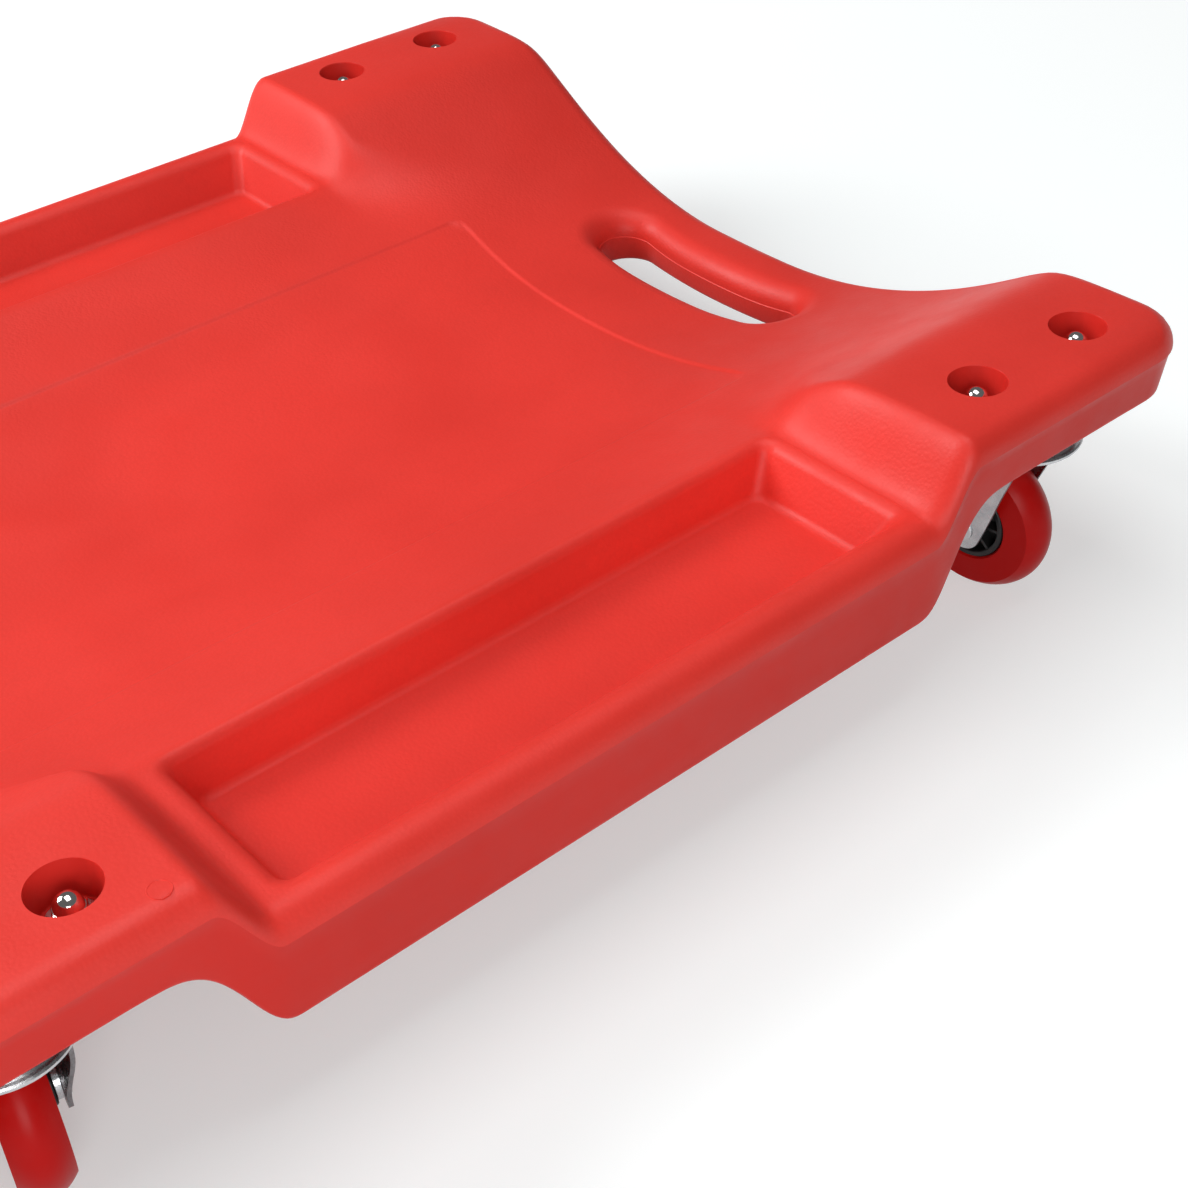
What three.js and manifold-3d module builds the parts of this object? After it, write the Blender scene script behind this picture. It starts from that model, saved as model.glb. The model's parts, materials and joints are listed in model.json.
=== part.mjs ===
// Mechanic creeper: a moulded deck with raised ears, two tool trays and a handle slot,
// carried on six swivel casters, with a padded headrest.
// Millimetres, +Z up. The origin is on the floor under the middle of the deck, +X points to the handle.

import * as THREE from 'three';
import { mergeVertices } from 'three/addons/utils/BufferGeometryUtils.js';
import Module from 'manifold-3d';

const wasm = await Module();
wasm.setup();

// Driving dimensions of the deck
const deckLength = 1004;
const deckWidth = 470;
const endOverhang = 67;
const casterInset = 29.5;
const earThickness = 29.5;
const shoulderDrop = 26;
const dishDrop = 48;
const bellyDrop = 71;
const footDip = 3;
const footDipRun = 90;
const earLandWidth = 67;
const shoulderLandWidth = 85;
const dishFlatWidth = 40;
const earHalfLength = 56;
const earSlopeRun = 21;
const endEarGrowth = 4;
const earCornerRun = 60;
const earCornerWidth = 50;
const underSlopeStart = 26;
const underSlopeRun = 56;
const topRound = 9.5;
const bottomRound = 2.5;
const skirtDraft = 3;
const cornerRadius = 24;
const endHollow = 7;
const waistDepth = 62;
const waistEndGap = 52.5;

// Powers of the moulded curves
const earRisePower = 2.1;
const underSwellPower = 4.5;
const underEasePower = 4.5;
const waistPower = 1.6;

// Tool trays
const trayDepth = 20;
const trayRimWidth = 24.5;
const trayEndGap = 93;
const trayInnerRun = 3;
const trayOuterRun = 11;
const trayEndRun = 8;
const trayFloorRound = 3;
const trayCorner = 6;
const trayShoulderWidth = 5.5;
const trayLip = 3;

// Handle slot
const slotSetback = 51.5;
const slotLength = 122;
const slotWidth = 28;
const slotSoftEdge = 10;
const slotSoftDrop = 10;
const slotBow = 6.2;

// Nut recesses, bolts and cap nuts
const boltPitch = 58;
const recessRadius = 11.1;
const recessDepth = 15;
const recessDraft = 0.5;
const boltRadius = 3;
const boltHeadWidth = 10;
const boltHeadHeight = 4;
const washerRadius = 8.5;
const washerThickness = 1.5;
const nutWidth = 10;
const nutHexHeight = 5;
const nutHeight = 11.4;
const domeRadius = 4.7;
const nutRoof = 3;

// Stiffening channels under the deck
const channelCount = 5;
const channelPitch = 50;
const channelEndGap = 92.5;
const channelWidth = 16;
const channelDepth = 9;
const channelDraft = 3;

// Caster plate with its race cup and kingpin
const casterHeight = 89;
const platePocketDepth = 6.5;
const plateThickness = 2.5;
const plateLobeRadius = 11;
const plateCentreRadius = 24;
const cupRadius = 19;
const cupTaper = 2;
const cupDepth = 8;
const kingpinRadius = 5;
const rivetRadius = 6.8;
const rivetHeight = 2.5;

// Fork: its crown carries the race ring, and its legs step in above the axle
const crownRadius = 24;
const crownSheet = 2.2;
const raceSetback = 2.3;
const raceWall = 2.2;
const raceRise = 3.5;
const legSheet = 2.2;
const legBend = 4;
const legTopFront = 11;
const legTopBack = 16;
const legFootRadius = 7;
const legHeelAngle = 205;
const legKneeRise = 5;
const legKneeRun = 16;
const legStep = 3.5;
const casterTrail = 14;

// Wheel
const wheelRadius = 32;
const wheelWidth = 17.5;
const tyreShoulder = 1.6;
const hubRadius = 16;
const hubBossRadius = 7.5;
const hubDish = 2;
const legClearance = 3;
const axleRadius = 4;
const axleHeadWidth = 12;
const axleHeadHeight = 4;

// Headrest
const padSideGap = 36;
const padDepth = 112;
const padThickness = 37;
const padCrown = 8;
const padDrawIn = 3;
const padCorner = 26;
const padSetback = 18;
const boardThickness = 6;
const boardMargin = 7;
const seatDrop = 36;
const seatMargin = 13;
const seatRun = 40;
const screwInset = 52;
const screwRadius = 2.5;
const screwHeadRadius = 5.5;
const screwHeadHeight = 3;
const screwWellRadius = 9;
const screwSeatThickness = 9;
const screwBite = 4;

// Clearances and shared overrun of the cuts
const seatGap = 0.3;
const runningGap = 0.3;
const pocketGap = 2;
const overrun = 5;
const mergeTolerance = 1e-3;

// Facet counts
const wheelFacets = 20;
const roundFacets = 12;
const shankFacets = 8;
const bendFacets = 2;
const cornerFacets = 3;
const slotFacets = 5;

// Rest angles of the casters in degrees, by row from the head to the foot: near side, far side
const restAngles = [[-9, 172], [-12, 150], [6, 100]];

// Sizes that follow from the ones above
const halfLength = deckLength / 2;
const halfWidth = deckWidth / 2;
const rowPitch = halfLength - endOverhang;
const rows = [-rowPitch, 0, rowPitch];
const casterLine = halfWidth - casterInset;
const shoulder = halfWidth - shoulderLandWidth;
const earCrease = halfWidth - earLandWidth;
const earTop = casterHeight + earThickness - platePocketDepth;
const bellyHeight = earTop - bellyDrop;
const earFoot = earHalfLength + earSlopeRun;
const trayMiddle = rowPitch / 2;
const trayInnerWall = shoulder + trayShoulderWidth;
const trayOuterWall = halfWidth - trayRimWidth;
const trayReach = trayMiddle - trayEndGap;
const waistMiddle = -rowPitch / 2;
const waistReach = rowPitch / 2 - waistEndGap;
const channelReach = rowPitch / 2 - channelEndGap;
const slotCentre = halfLength - slotSetback;
const padLength = 2 * (earCrease - padSideGap);
const seatHalfWidth = padLength / 2 - boardMargin + seatMargin;
const headrestCentre = padSetback + padDepth / 2 - halfLength;
const screwOffset = padLength / 2 - screwInset;
const plateBottom = casterHeight - seatGap - plateThickness;
const crownTop = plateBottom - cupDepth - runningGap;
const crownUnder = crownTop - crownSheet;
const yokeRoof = crownUnder + crownSheet / 2;
const forkHalfGap = wheelWidth / 2 + legClearance;
const forkHalfWidth = forkHalfGap + legSheet;
const hipHalfWidth = forkHalfWidth + legStep;
const boltHoleRadius = boltRadius + runningGap;
const axleBore = axleRadius + runningGap;

const deckRed = 0xd5342c;
const tyreRed = 0xb5140e;
const hubBlack = 0x101010;
const zincGrey = 0xc9ccd0;
const vinylBlack = 0x17181a;
const boardBrown = 0x6b5238;

const plastic = (color) => new THREE.MeshStandardMaterial({ color, roughness: 0.5, metalness: 0 });
const metal = (color) => new THREE.MeshStandardMaterial({ color, roughness: 0.25, metalness: 1 });

const creeper = new THREE.Group();

// Helpers

function ease(t) {
  const c = THREE.MathUtils.clamp(t, 0, 1);
  return c * c * (3 - 2 * c);
}

function solidOf(geometry) {
  const bare = geometry.clone();
  bare.deleteAttribute('normal');
  bare.deleteAttribute('uv');
  const merged = mergeVertices(bare, mergeTolerance);
  return new wasm.Manifold(new wasm.Mesh({
    numProp: 3,
    vertProperties: new Float32Array(merged.attributes.position.array),
    triVerts: new Uint32Array(merged.index.array),
  }));
}

function geometryOf(solid) {
  const mesh = solid.getMesh();
  const geometry = new THREE.BufferGeometry();
  geometry.setAttribute('position', new THREE.BufferAttribute(mesh.vertProperties, 3));
  geometry.setIndex(new THREE.BufferAttribute(mesh.triVerts, 1));
  return geometry;
}

function join(...geometries) {
  return geometries.map(solidOf).reduce((whole, piece) => whole.add(piece));
}

function cut(solid, ...geometries) {
  return geometries.map(solidOf).reduce((whole, piece) => whole.subtract(piece), solid);
}

function addMesh(parent, name, geometry, material) {
  const mesh = new THREE.Mesh(geometry, material);
  mesh.name = name;
  parent.add(mesh);
  return mesh;
}

const fromAbove = (point) => new THREE.Vector2(point.x, point.y);
const alongDeck = (point) => new THREE.Vector2(point.y, point.z);

// A closed skin through rings of equal point count, each anticlockwise in the view that flattens it
function loft(rings, flat = fromAbove) {
  const count = rings[0].length;
  const position = rings.flat().flatMap((p) => [p.x, p.y, p.z]);
  const index = [];
  for (let r = 0; r < rings.length - 1; r += 1) {
    for (let k = 0; k < count; k += 1) {
      const a = r * count + k;
      const b = r * count + ((k + 1) % count);
      index.push(a, b, b + count, a, b + count, a + count);
    }
  }
  const last = (rings.length - 1) * count;
  for (const [p, q, s] of THREE.ShapeUtils.triangulateShape(rings[0].map(flat), [])) {
    index.push(s, q, p);
  }
  for (const [p, q, s] of THREE.ShapeUtils.triangulateShape(rings[rings.length - 1].map(flat), [])) {
    index.push(last + p, last + q, last + s);
  }
  const geometry = new THREE.BufferGeometry();
  geometry.setAttribute('position', new THREE.Float32BufferAttribute(position, 3));
  geometry.setIndex(index);
  return geometry;
}

// A ring of points round a rectangle with rounded corners
function roundedRing(x0, x1, y0, y1, radius, z, facets = cornerFacets) {
  const points = [];
  const corners = [[x1, y0, -1], [x1, y1, 0], [x0, y1, 1], [x0, y0, 2]];
  for (const [cx, cy, quarter] of corners) {
    const mx = cx - Math.sign(cx - (x0 + x1) / 2) * radius;
    const my = cy - Math.sign(cy - (y0 + y1) / 2) * radius;
    for (let k = 0; k <= facets; k += 1) {
      const turn = (quarter + k / facets) * Math.PI / 2;
      points.push(new THREE.Vector3(mx + radius * Math.cos(turn), my + radius * Math.sin(turn), z));
    }
  }
  return points;
}

function lathe(profile, facets) {
  const points = profile.map(([r, z]) => new THREE.Vector2(r, z));
  const geometry = new THREE.LatheGeometry(points, facets);
  geometry.rotateX(Math.PI / 2);
  return geometry;
}

function cylinder(radius, z0, z1, facets) {
  const geometry = new THREE.CylinderGeometry(radius, radius, z1 - z0, facets);
  geometry.rotateX(Math.PI / 2);
  geometry.translate(0, 0, (z0 + z1) / 2);
  return geometry;
}

// Hexagonal prism by its width across flats
function hexagon(width, z0, z1) {
  return cylinder(width / Math.sqrt(3), z0, z1, 6);
}

function extrude(shape, depth, curveSegments) {
  return new THREE.ExtrudeGeometry(shape, { depth, bevelEnabled: false, curveSegments });
}

// Deck surfaces, as drops below the ear tops

// Distance from the middle of the nearest ears, which at the two ends are longer and run out to the edge
function rowDistance(x) {
  return Math.min(Math.abs(x), Math.max(rowPitch - endEarGrowth - Math.abs(x), 0));
}

// Depth of the lying surface on the centre line, which dips a little more at the handle
function middleDrop(x) {
  return dishDrop + footDip * ease((x - rowPitch + footDipRun) / footDipRun);
}

// 1 on an ear, 0 between ears. The step between them is steep beside the trays and fades out
// round a soft corner towards the lying surface.
function earLift(x, a) {
  const fade = earCornerRun * ease((trayInnerWall - a) / earCornerWidth);
  return 1 - ease((rowDistance(x) - earHalfLength + fade) / (earSlopeRun + fade));
}

// 0 over the lying surface, 1 over the flat seat of the headrest
function seatShare(x) {
  const seatStart = headrestCentre + padDepth / 2;
  return ease((seatStart + seatRun - x) / seatRun);
}

function flankDrop(x, a) {
  const share = Math.min(a / shoulder, 1);
  const deep = middleDrop(x);
  const dished = deep - (deep - shoulderDrop) * share * share;
  const seat = a < seatHalfWidth ? seatDrop : Math.min(seatDrop, dished);
  return THREE.MathUtils.lerp(dished, seat, seatShare(x));
}

function earDrop(x, a) {
  const rise = THREE.MathUtils.clamp((a - dishFlatWidth / 2) / (earCrease - dishFlatWidth / 2), 0, 1);
  const dished = middleDrop(x) * (1 - rise ** earRisePower);
  const seatRise = ease((a - seatHalfWidth) / (earCrease - seatHalfWidth));
  return THREE.MathUtils.lerp(dished, seatDrop * (1 - seatRise), seatShare(x));
}

function topDrop(x, y) {
  const a = Math.abs(y);
  return THREE.MathUtils.lerp(flankDrop(x, a), earDrop(x, a), earLift(x, a));
}

function undersideDrop(x, y) {
  const a = Math.abs(y);
  const t = THREE.MathUtils.clamp((rowDistance(x) - underSlopeStart) / underSlopeRun, 0, 1);
  const share = 1 - (1 - t ** underSwellPower) ** underEasePower;
  const underEar = Math.min(earDrop(x, a) + earThickness, bellyDrop);
  return THREE.MathUtils.lerp(underEar, bellyDrop, share);
}

// Deck outline

function outlineWidth(x) {
  const t = Math.min(Math.abs(x - waistMiddle) / waistReach, 1);
  return halfWidth - waistDepth * (1 - t * t) ** waistPower;
}

function sideStretch(x) {
  const step = deckLength / 1000;
  return Math.hypot(1, (outlineWidth(x + step) - outlineWidth(x - step)) / (2 * step));
}

function endReach(a, inset) {
  const hollow = endHollow * (1 - ease(a / earCrease));
  const radius = cornerRadius - inset;
  const past = Math.max(a - (halfWidth - cornerRadius), 0);
  const rounding = radius - Math.sqrt(Math.max(radius * radius - past * past, 0));
  return halfLength - inset - hollow - rounding;
}

function edgeDistance(x, a) {
  const toSide = (outlineWidth(x) - a) / sideStretch(x);
  const toEnd = endReach(Math.min(a, halfWidth - cornerRadius), 0) - Math.abs(x);
  if (toSide < cornerRadius && toEnd < cornerRadius) {
    return cornerRadius - Math.hypot(cornerRadius - toSide, cornerRadius - toEnd);
  }
  return Math.min(toSide, toEnd);
}

function roundDrop(distance) {
  const inset = topRound - THREE.MathUtils.clamp(distance, 0, topRound);
  return topRound - Math.sqrt(topRound * topRound - inset * inset);
}

// Shares that place the sections of the deck along X and the points of a section across Y
const ringShares = [1, 0.35, 0.1, 0];
const slopeShares = [0, 0.28, 0.52, 0.78, 1];
const dishShares = [0, 0.27, 0.53, 0.74, 0.88, 1];
const flankShares = [0.24, 0.5, 0.83];
const bellyShares = [0, 0.37, 0.62, 0.83, 1];
const leadShare = 0.8;
const waistSections = 6;

function earSections(row, side) {
  const growth = row === 0 ? 0 : endEarGrowth;
  const slope = slopeShares.map((share) => earHalfLength + earSlopeRun * share);
  return [earHalfLength * leadShare, ...slope].map((offset) => row + side * (offset + growth));
}

function deckSections() {
  const places = [...rows, trayMiddle];
  for (const row of rows) {
    if (row > -rowPitch) places.push(...earSections(row, -1));
    if (row < rowPitch) places.push(...earSections(row, 1));
  }
  for (let k = 1; k <= waistSections; k += 1) {
    places.push(-earFoot - (rowPitch - 2 * earFoot) * k / (waistSections + 1));
  }
  places.sort((a, b) => a - b);
  const ends = ringShares.map((share) => ({ end: 1, share }));
  const heads = ringShares.map((share) => ({ end: -1, share })).reverse();
  return [...heads, ...places.map((x) => ({ x })), ...ends];
}

// Distances of a section's top points from the middle: the dish, the flank, then the rounded edge
function topOffsets(x) {
  const stretch = sideStretch(x);
  const edge = outlineWidth(x);
  const flankEnd = edge - topRound * stretch;
  return [
    ...dishShares.map((share) => share * shoulder),
    ...flankShares.map((share) => THREE.MathUtils.lerp(shoulder, flankEnd, share)),
    ...ringShares.map((share) => edge - share * topRound * stretch),
  ];
}

function sectionPlace(section, a, inset, ring) {
  return section.end ? section.end * (endReach(a, inset) - ring) : section.x;
}

function topPoint(section, side, a) {
  const x = sectionPlace(section, a, 0, (section.share ?? 0) * topRound);
  const z = earTop - topDrop(x, a) - roundDrop(edgeDistance(x, a));
  return new THREE.Vector3(x, side * a, z);
}

// A point of the underside, raised by the bottom round at the skirt and at the two ends
function underPoint(section, side, a, atSkirt) {
  const atEnd = section.end && section.share === 0;
  const inset = atEnd ? skirtDraft : skirtDraft + bottomRound * (1 + (section.share ?? 0));
  const x = sectionPlace(section, a, inset, 0);
  const lift = atEnd || atSkirt ? bottomRound : 0;
  return new THREE.Vector3(x, side * a, earTop - undersideDrop(x, a) + lift);
}

// One closed section: over the top from the far side to the near side, and back underneath
function deckSection(section) {
  const nominal = section.end ? section.end * rowPitch : section.x;
  const top = topOffsets(nominal);
  const skirt = outlineWidth(nominal) - skirtDraft;
  const crease = Math.min(earCrease, skirt - 2 * bottomRound);
  const belly = [...bellyShares.map((share) => share * crease), skirt - bottomRound];
  const both = (offsets, make) => [
    ...offsets.slice(1).reverse().map((a) => make(1, a)),
    ...offsets.map((a) => make(-1, a)),
  ];
  const over = both(top, (side, a) => topPoint(section, side, a));
  const back = both(belly, (side, a) => underPoint(section, side, a, false)).reverse();
  const near = underPoint(section, -1, skirt, true);
  const far = underPoint(section, 1, skirt, true);
  return [...over, near, ...back, far];
}

// The moulded body before any cut
function deckBody() {
  return loft(deckSections().map(deckSection), alongDeck);
}

// Cutting tool of one tray: flat floor, sloped walls and a lip that flares into the rim
function trayTool(side) {
  const rimZ = earTop - shoulderDrop;
  const floorZ = rimZ - trayDepth;
  const levels = [
    { z: floorZ, grow: 0, run: 0 },
    { z: floorZ + trayFloorRound, grow: trayFloorRound / 3, run: 0 },
    { z: rimZ - trayLip, grow: trayFloorRound / 3, run: 1 },
    { z: rimZ, grow: trayLip, run: 1 },
    { z: rimZ + overrun, grow: trayLip, run: 1 },
  ];
  const rings = levels.map(({ z, grow, run }) => {
    const near = trayInnerWall - trayInnerRun * run - grow;
    const far = trayOuterWall + trayOuterRun * run + grow;
    const reach = trayReach + trayEndRun * run + grow;
    const [y0, y1] = side > 0 ? [near, far] : [-far, -near];
    return roundedRing(trayMiddle - reach, trayMiddle + reach, y0, y1, trayCorner, z);
  });
  return loft(rings);
}

// A ring round the bowed handle slot, at a distance out from the hole and following the deck's surface
function slotRing(out, height) {
  const halfLong = slotLength / 2;
  const half = slotWidth / 2 + out;
  const bow = (y) => slotCentre + slotBow * (y / halfLong) ** 2;
  const straight = halfLong - slotWidth / 2;
  const steps = slotFacets;
  const points = [];
  const add = (x, y) => points.push(new THREE.Vector3(x, y, height(x, y)));
  for (let k = 0; k <= steps; k += 1) {
    const y = straight * (2 * k / steps - 1);
    add(bow(y) + half, y);
  }
  for (let k = 1; k < steps; k += 1) {
    const turn = Math.PI * k / steps;
    add(bow(straight) + half * Math.cos(turn), straight + half * Math.sin(turn));
  }
  for (let k = 0; k <= steps; k += 1) {
    const y = straight * (1 - 2 * k / steps);
    add(bow(y) - half, y);
  }
  for (let k = 1; k < steps; k += 1) {
    const turn = Math.PI * k / steps;
    add(bow(straight) - half * Math.cos(turn), -straight - half * Math.sin(turn));
  }
  return points;
}

// Out and down shares of the soft edge round the slot
const slotSoftShares = [[0, 1], [0.12, 0.5], [0.45, 0.13], [1, 0]];

function slotTool() {
  const surface = (x, y) => earTop - topDrop(x, y);
  const rings = [
    slotRing(bottomRound, () => bellyHeight - overrun),
    slotRing(bottomRound, () => bellyHeight),
    slotRing(0, () => bellyHeight + bottomRound),
  ];
  for (const [out, drop] of slotSoftShares) {
    rings.push(slotRing(out * slotSoftEdge, (x, y) => surface(x, y) - drop * slotSoftDrop));
  }
  rings.push(slotRing(slotSoftEdge, (x, y) => surface(x, y) + overrun));
  return loft(rings);
}

// Recess for a cap nut with the bolt hole through its floor
function recessTool(x, y) {
  const floor = earTop - recessDepth;
  const profile = [
    [0, earTop - earThickness - overrun],
    [boltHoleRadius, earTop - earThickness - overrun],
    [boltHoleRadius, floor],
    [recessRadius - recessDraft, floor],
    [recessRadius + recessDraft, earTop + recessDepth],
    [0, earTop + recessDepth],
  ];
  return lathe(profile, roundFacets).translate(x, y, 0);
}

// Pocket under an ear that seats a caster plate
function platePocketTool(x, y) {
  const halfLong = boltPitch / 2 + plateLobeRadius + pocketGap;
  const halfWide = plateCentreRadius + pocketGap;
  const rings = [bellyHeight, casterHeight].map((z) => roundedRing(
    x - halfLong, x + halfLong, y - halfWide, y + halfWide, plateLobeRadius, z,
  ));
  return loft(rings);
}

function channelTool(k) {
  const y = channelPitch * (k - (channelCount - 1) / 2);
  const levels = [[-overrun, 0], [0, 0], [channelDepth, channelDraft]];
  const rings = levels.map(([rise, draft]) => roundedRing(
    trayMiddle - channelReach + draft, trayMiddle + channelReach - draft,
    y - channelWidth / 2 + draft, y + channelWidth / 2 - draft,
    channelWidth / 2 - draft - seatGap, bellyHeight + rise, bendFacets,
  ));
  return loft(rings);
}

// Screw hole of the headrest, with its well in the underside
function screwTool(side) {
  const seat = earTop - seatDrop;
  const under = bellyHeight - overrun;
  const hole = screwRadius + runningGap;
  const profile = [
    [0, under],
    [screwWellRadius, under],
    [screwWellRadius, seat - screwSeatThickness],
    [hole, seat - screwSeatThickness],
    [hole, seat + overrun],
    [0, seat + overrun],
  ];
  return lathe(profile, roundFacets).translate(headrestCentre, side * screwOffset, 0);
}

function buildDeck() {
  const tools = [slotTool()];
  for (const side of [-1, 1]) {
    tools.push(trayTool(side), screwTool(side));
    for (const row of rows) {
      tools.push(platePocketTool(row, side * casterLine));
      for (const end of [-1, 1]) tools.push(recessTool(row + end * boltPitch / 2, side * casterLine));
    }
  }
  for (let k = 0; k < channelCount; k += 1) {
    const tool = channelTool(k);
    tools.push(tool, tool.clone().translate(waistMiddle - trayMiddle, 0, 0));
  }
  const deck = cut(solidOf(deckBody()), ...tools);
  addMesh(creeper, 'deck', geometryOf(deck), plastic(deckRed));
}

// Fasteners that hold a caster plate: a hexagon bolt from below and a domed cap nut in the recess
function boltSolid() {
  const head = hexagon(boltHeadWidth, plateBottom - seatGap - boltHeadHeight, plateBottom - seatGap);
  const tip = earTop - recessDepth + seatGap + nutHeight - nutRoof - runningGap;
  const shank = cylinder(boltRadius, plateBottom - seatGap - boltHeadHeight / 2, tip, shankFacets);
  return join(head, shank);
}

const domeShares = [0, 0.6];

function nutSolid() {
  const base = earTop - recessDepth + seatGap;
  const hexTop = base + washerThickness + nutHexHeight;
  const washer = cylinder(washerRadius, base, base + washerThickness, roundFacets);
  const hex = hexagon(nutWidth, base + washerThickness / 2, hexTop);
  const domeRise = base + nutHeight - hexTop;
  const profile = [[0, base + washerThickness], [domeRadius, base + washerThickness]];
  for (const share of domeShares) {
    const turn = share * Math.PI / 2;
    profile.push([domeRadius * Math.cos(turn), hexTop + domeRise * Math.sin(turn)]);
  }
  profile.push([0, base + nutHeight]);
  const bore = cylinder(boltHoleRadius, base - overrun, base + nutHeight - nutRoof, shankFacets);
  return cut(join(washer, hex, lathe(profile, shankFacets)), bore);
}

// Outline of the two-bolt caster plate: a round middle with a lobe at each bolt
function plateShape() {
  const lobe = boltPitch / 2;
  const lean = Math.acos((plateCentreRadius - plateLobeRadius) / lobe);
  const shape = new THREE.Shape();
  shape.absarc(lobe, 0, plateLobeRadius, -lean, lean, false);
  shape.absarc(0, 0, plateCentreRadius, lean, Math.PI - lean, false);
  shape.absarc(-lobe, 0, plateLobeRadius, Math.PI - lean, Math.PI + lean, false);
  shape.absarc(0, 0, plateCentreRadius, Math.PI + lean, 2 * Math.PI - lean, false);
  return shape;
}

// Plate, race cup and riveted kingpin, which the fork turns on
function plateSolid() {
  const plate = extrude(plateShape(), plateThickness, bendFacets).translate(0, 0, plateBottom);
  const cupBottom = plateBottom - cupDepth;
  const rivetTop = yokeRoof - legSheet - runningGap;
  const profile = [
    [0, rivetTop - rivetHeight],
    [rivetRadius, rivetTop - rivetHeight],
    [rivetRadius, rivetTop],
    [kingpinRadius, rivetTop],
    [kingpinRadius, cupBottom],
    [cupRadius - cupTaper, cupBottom],
    [cupRadius, plateBottom + plateThickness / 2],
    [0, plateBottom + plateThickness / 2],
  ];
  const holes = [-1, 1].map((end) => cylinder(
    boltHoleRadius, plateBottom - overrun, plateBottom + overrun, shankFacets,
  ).translate(end * boltPitch / 2, 0, 0));
  return cut(join(plate, lathe(profile, roundFacets)), ...holes);
}

// Flat crown of the fork, with the race ring that stands round the cup
function crownGeometry() {
  const bore = kingpinRadius + runningGap;
  const raceOuter = crownRadius - raceSetback;
  const profile = [
    [bore, crownUnder],
    [crownRadius, crownUnder],
    [crownRadius, crownTop],
    [raceOuter, crownTop],
    [raceOuter, crownTop + raceRise],
    [raceOuter - raceWall, crownTop + raceRise],
    [raceOuter - raceWall, crownTop],
    [bore, crownTop],
    [bore, crownUnder],
  ];
  return lathe(profile, roundFacets);
}

// Bent sheet of the fork seen along its legs: an upside-down U whose legs step in above the axle
function yokeShape() {
  const foot = wheelRadius - legFootRadius - overrun;
  const knee = wheelRadius + legFootRadius + legKneeRise;
  const hip = knee + legKneeRun;
  const outer = legBend + legSheet;
  const bendX = hipHalfWidth - outer;
  const bendZ = yokeRoof - outer;
  const shape = new THREE.Shape();
  shape.moveTo(forkHalfWidth, foot);
  shape.lineTo(forkHalfWidth, knee);
  shape.lineTo(hipHalfWidth, hip);
  shape.absarc(bendX, bendZ, outer, 0, Math.PI / 2, false);
  shape.absarc(-bendX, bendZ, outer, Math.PI / 2, Math.PI, false);
  shape.lineTo(-hipHalfWidth, hip);
  shape.lineTo(-forkHalfWidth, knee);
  shape.lineTo(-forkHalfWidth, foot);
  shape.lineTo(-forkHalfGap, foot);
  shape.lineTo(-forkHalfGap, knee);
  shape.lineTo(legSheet - hipHalfWidth, hip);
  shape.absarc(-bendX, bendZ, legBend, Math.PI, Math.PI / 2, true);
  shape.absarc(bendX, bendZ, legBend, Math.PI / 2, 0, true);
  shape.lineTo(hipHalfWidth - legSheet, hip);
  shape.lineTo(forkHalfGap, knee);
  shape.lineTo(forkHalfGap, foot);
  shape.closePath();
  return shape;
}

// Side view of a fork leg: wide at the crown, leaning back to a rounded foot at the axle
function legShape() {
  const top = crownTop + overrun;
  const hip = crownUnder - legBend;
  const heel = THREE.MathUtils.degToRad(legHeelAngle);
  const shape = new THREE.Shape();
  shape.moveTo(-legTopFront, top);
  shape.lineTo(-legTopFront, hip);
  shape.absarc(casterTrail, wheelRadius, legFootRadius, heel, 2 * Math.PI, false);
  shape.lineTo(legTopBack, hip);
  shape.lineTo(legTopBack, top);
  shape.closePath();
  return shape;
}

function forkSolid() {
  const reach = crownRadius + casterTrail;
  const yoke = extrude(yokeShape(), 2 * reach, 1);
  yoke.rotateX(Math.PI / 2);
  yoke.translate(0, reach, 0);
  const legs = extrude(legShape(), 2 * hipHalfWidth + overrun, bendFacets);
  legs.rotateX(Math.PI / 2);
  legs.rotateZ(Math.PI / 2);
  legs.translate(-hipHalfWidth - overrun / 2, 0, 0);
  const axleHole = cylinder(axleBore, -reach, reach, roundFacets);
  axleHole.rotateY(Math.PI / 2);
  axleHole.translate(0, casterTrail, wheelRadius);
  const kingpinHole = cylinder(kingpinRadius + runningGap, wheelRadius, crownTop + overrun, roundFacets);
  const bent = solidOf(yoke).intersect(solidOf(legs));
  return cut(bent.add(solidOf(crownGeometry())), axleHole, kingpinHole);
}

// Turned about the axle, with a facet flat on the floor
function aboutAxle(profile, facets) {
  const geometry = lathe(profile, facets);
  geometry.rotateZ(Math.PI / facets);
  geometry.rotateY(Math.PI / 2);
  geometry.translate(0, casterTrail, wheelRadius);
  return geometry;
}

function tyreGeometry() {
  const outer = wheelRadius / Math.cos(Math.PI / wheelFacets);
  const half = wheelWidth / 2;
  const inner = hubRadius + seatGap;
  const profile = [
    [inner, -half],
    [outer - tyreShoulder, -half],
    [outer, -half + tyreShoulder],
    [outer, half - tyreShoulder],
    [outer - tyreShoulder, half],
    [inner, half],
    [inner, -half],
  ];
  return aboutAxle(profile, wheelFacets);
}

function hubGeometry() {
  const half = wheelWidth / 2;
  const boss = forkHalfGap - runningGap;
  const profile = [
    [axleBore, -boss],
    [hubBossRadius, -boss],
    [hubBossRadius, hubDish - half],
    [hubRadius, -half],
    [hubRadius, half],
    [hubBossRadius, half - hubDish],
    [hubBossRadius, boss],
    [axleBore, boss],
    [axleBore, -boss],
  ];
  return aboutAxle(profile, roundFacets);
}

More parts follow.
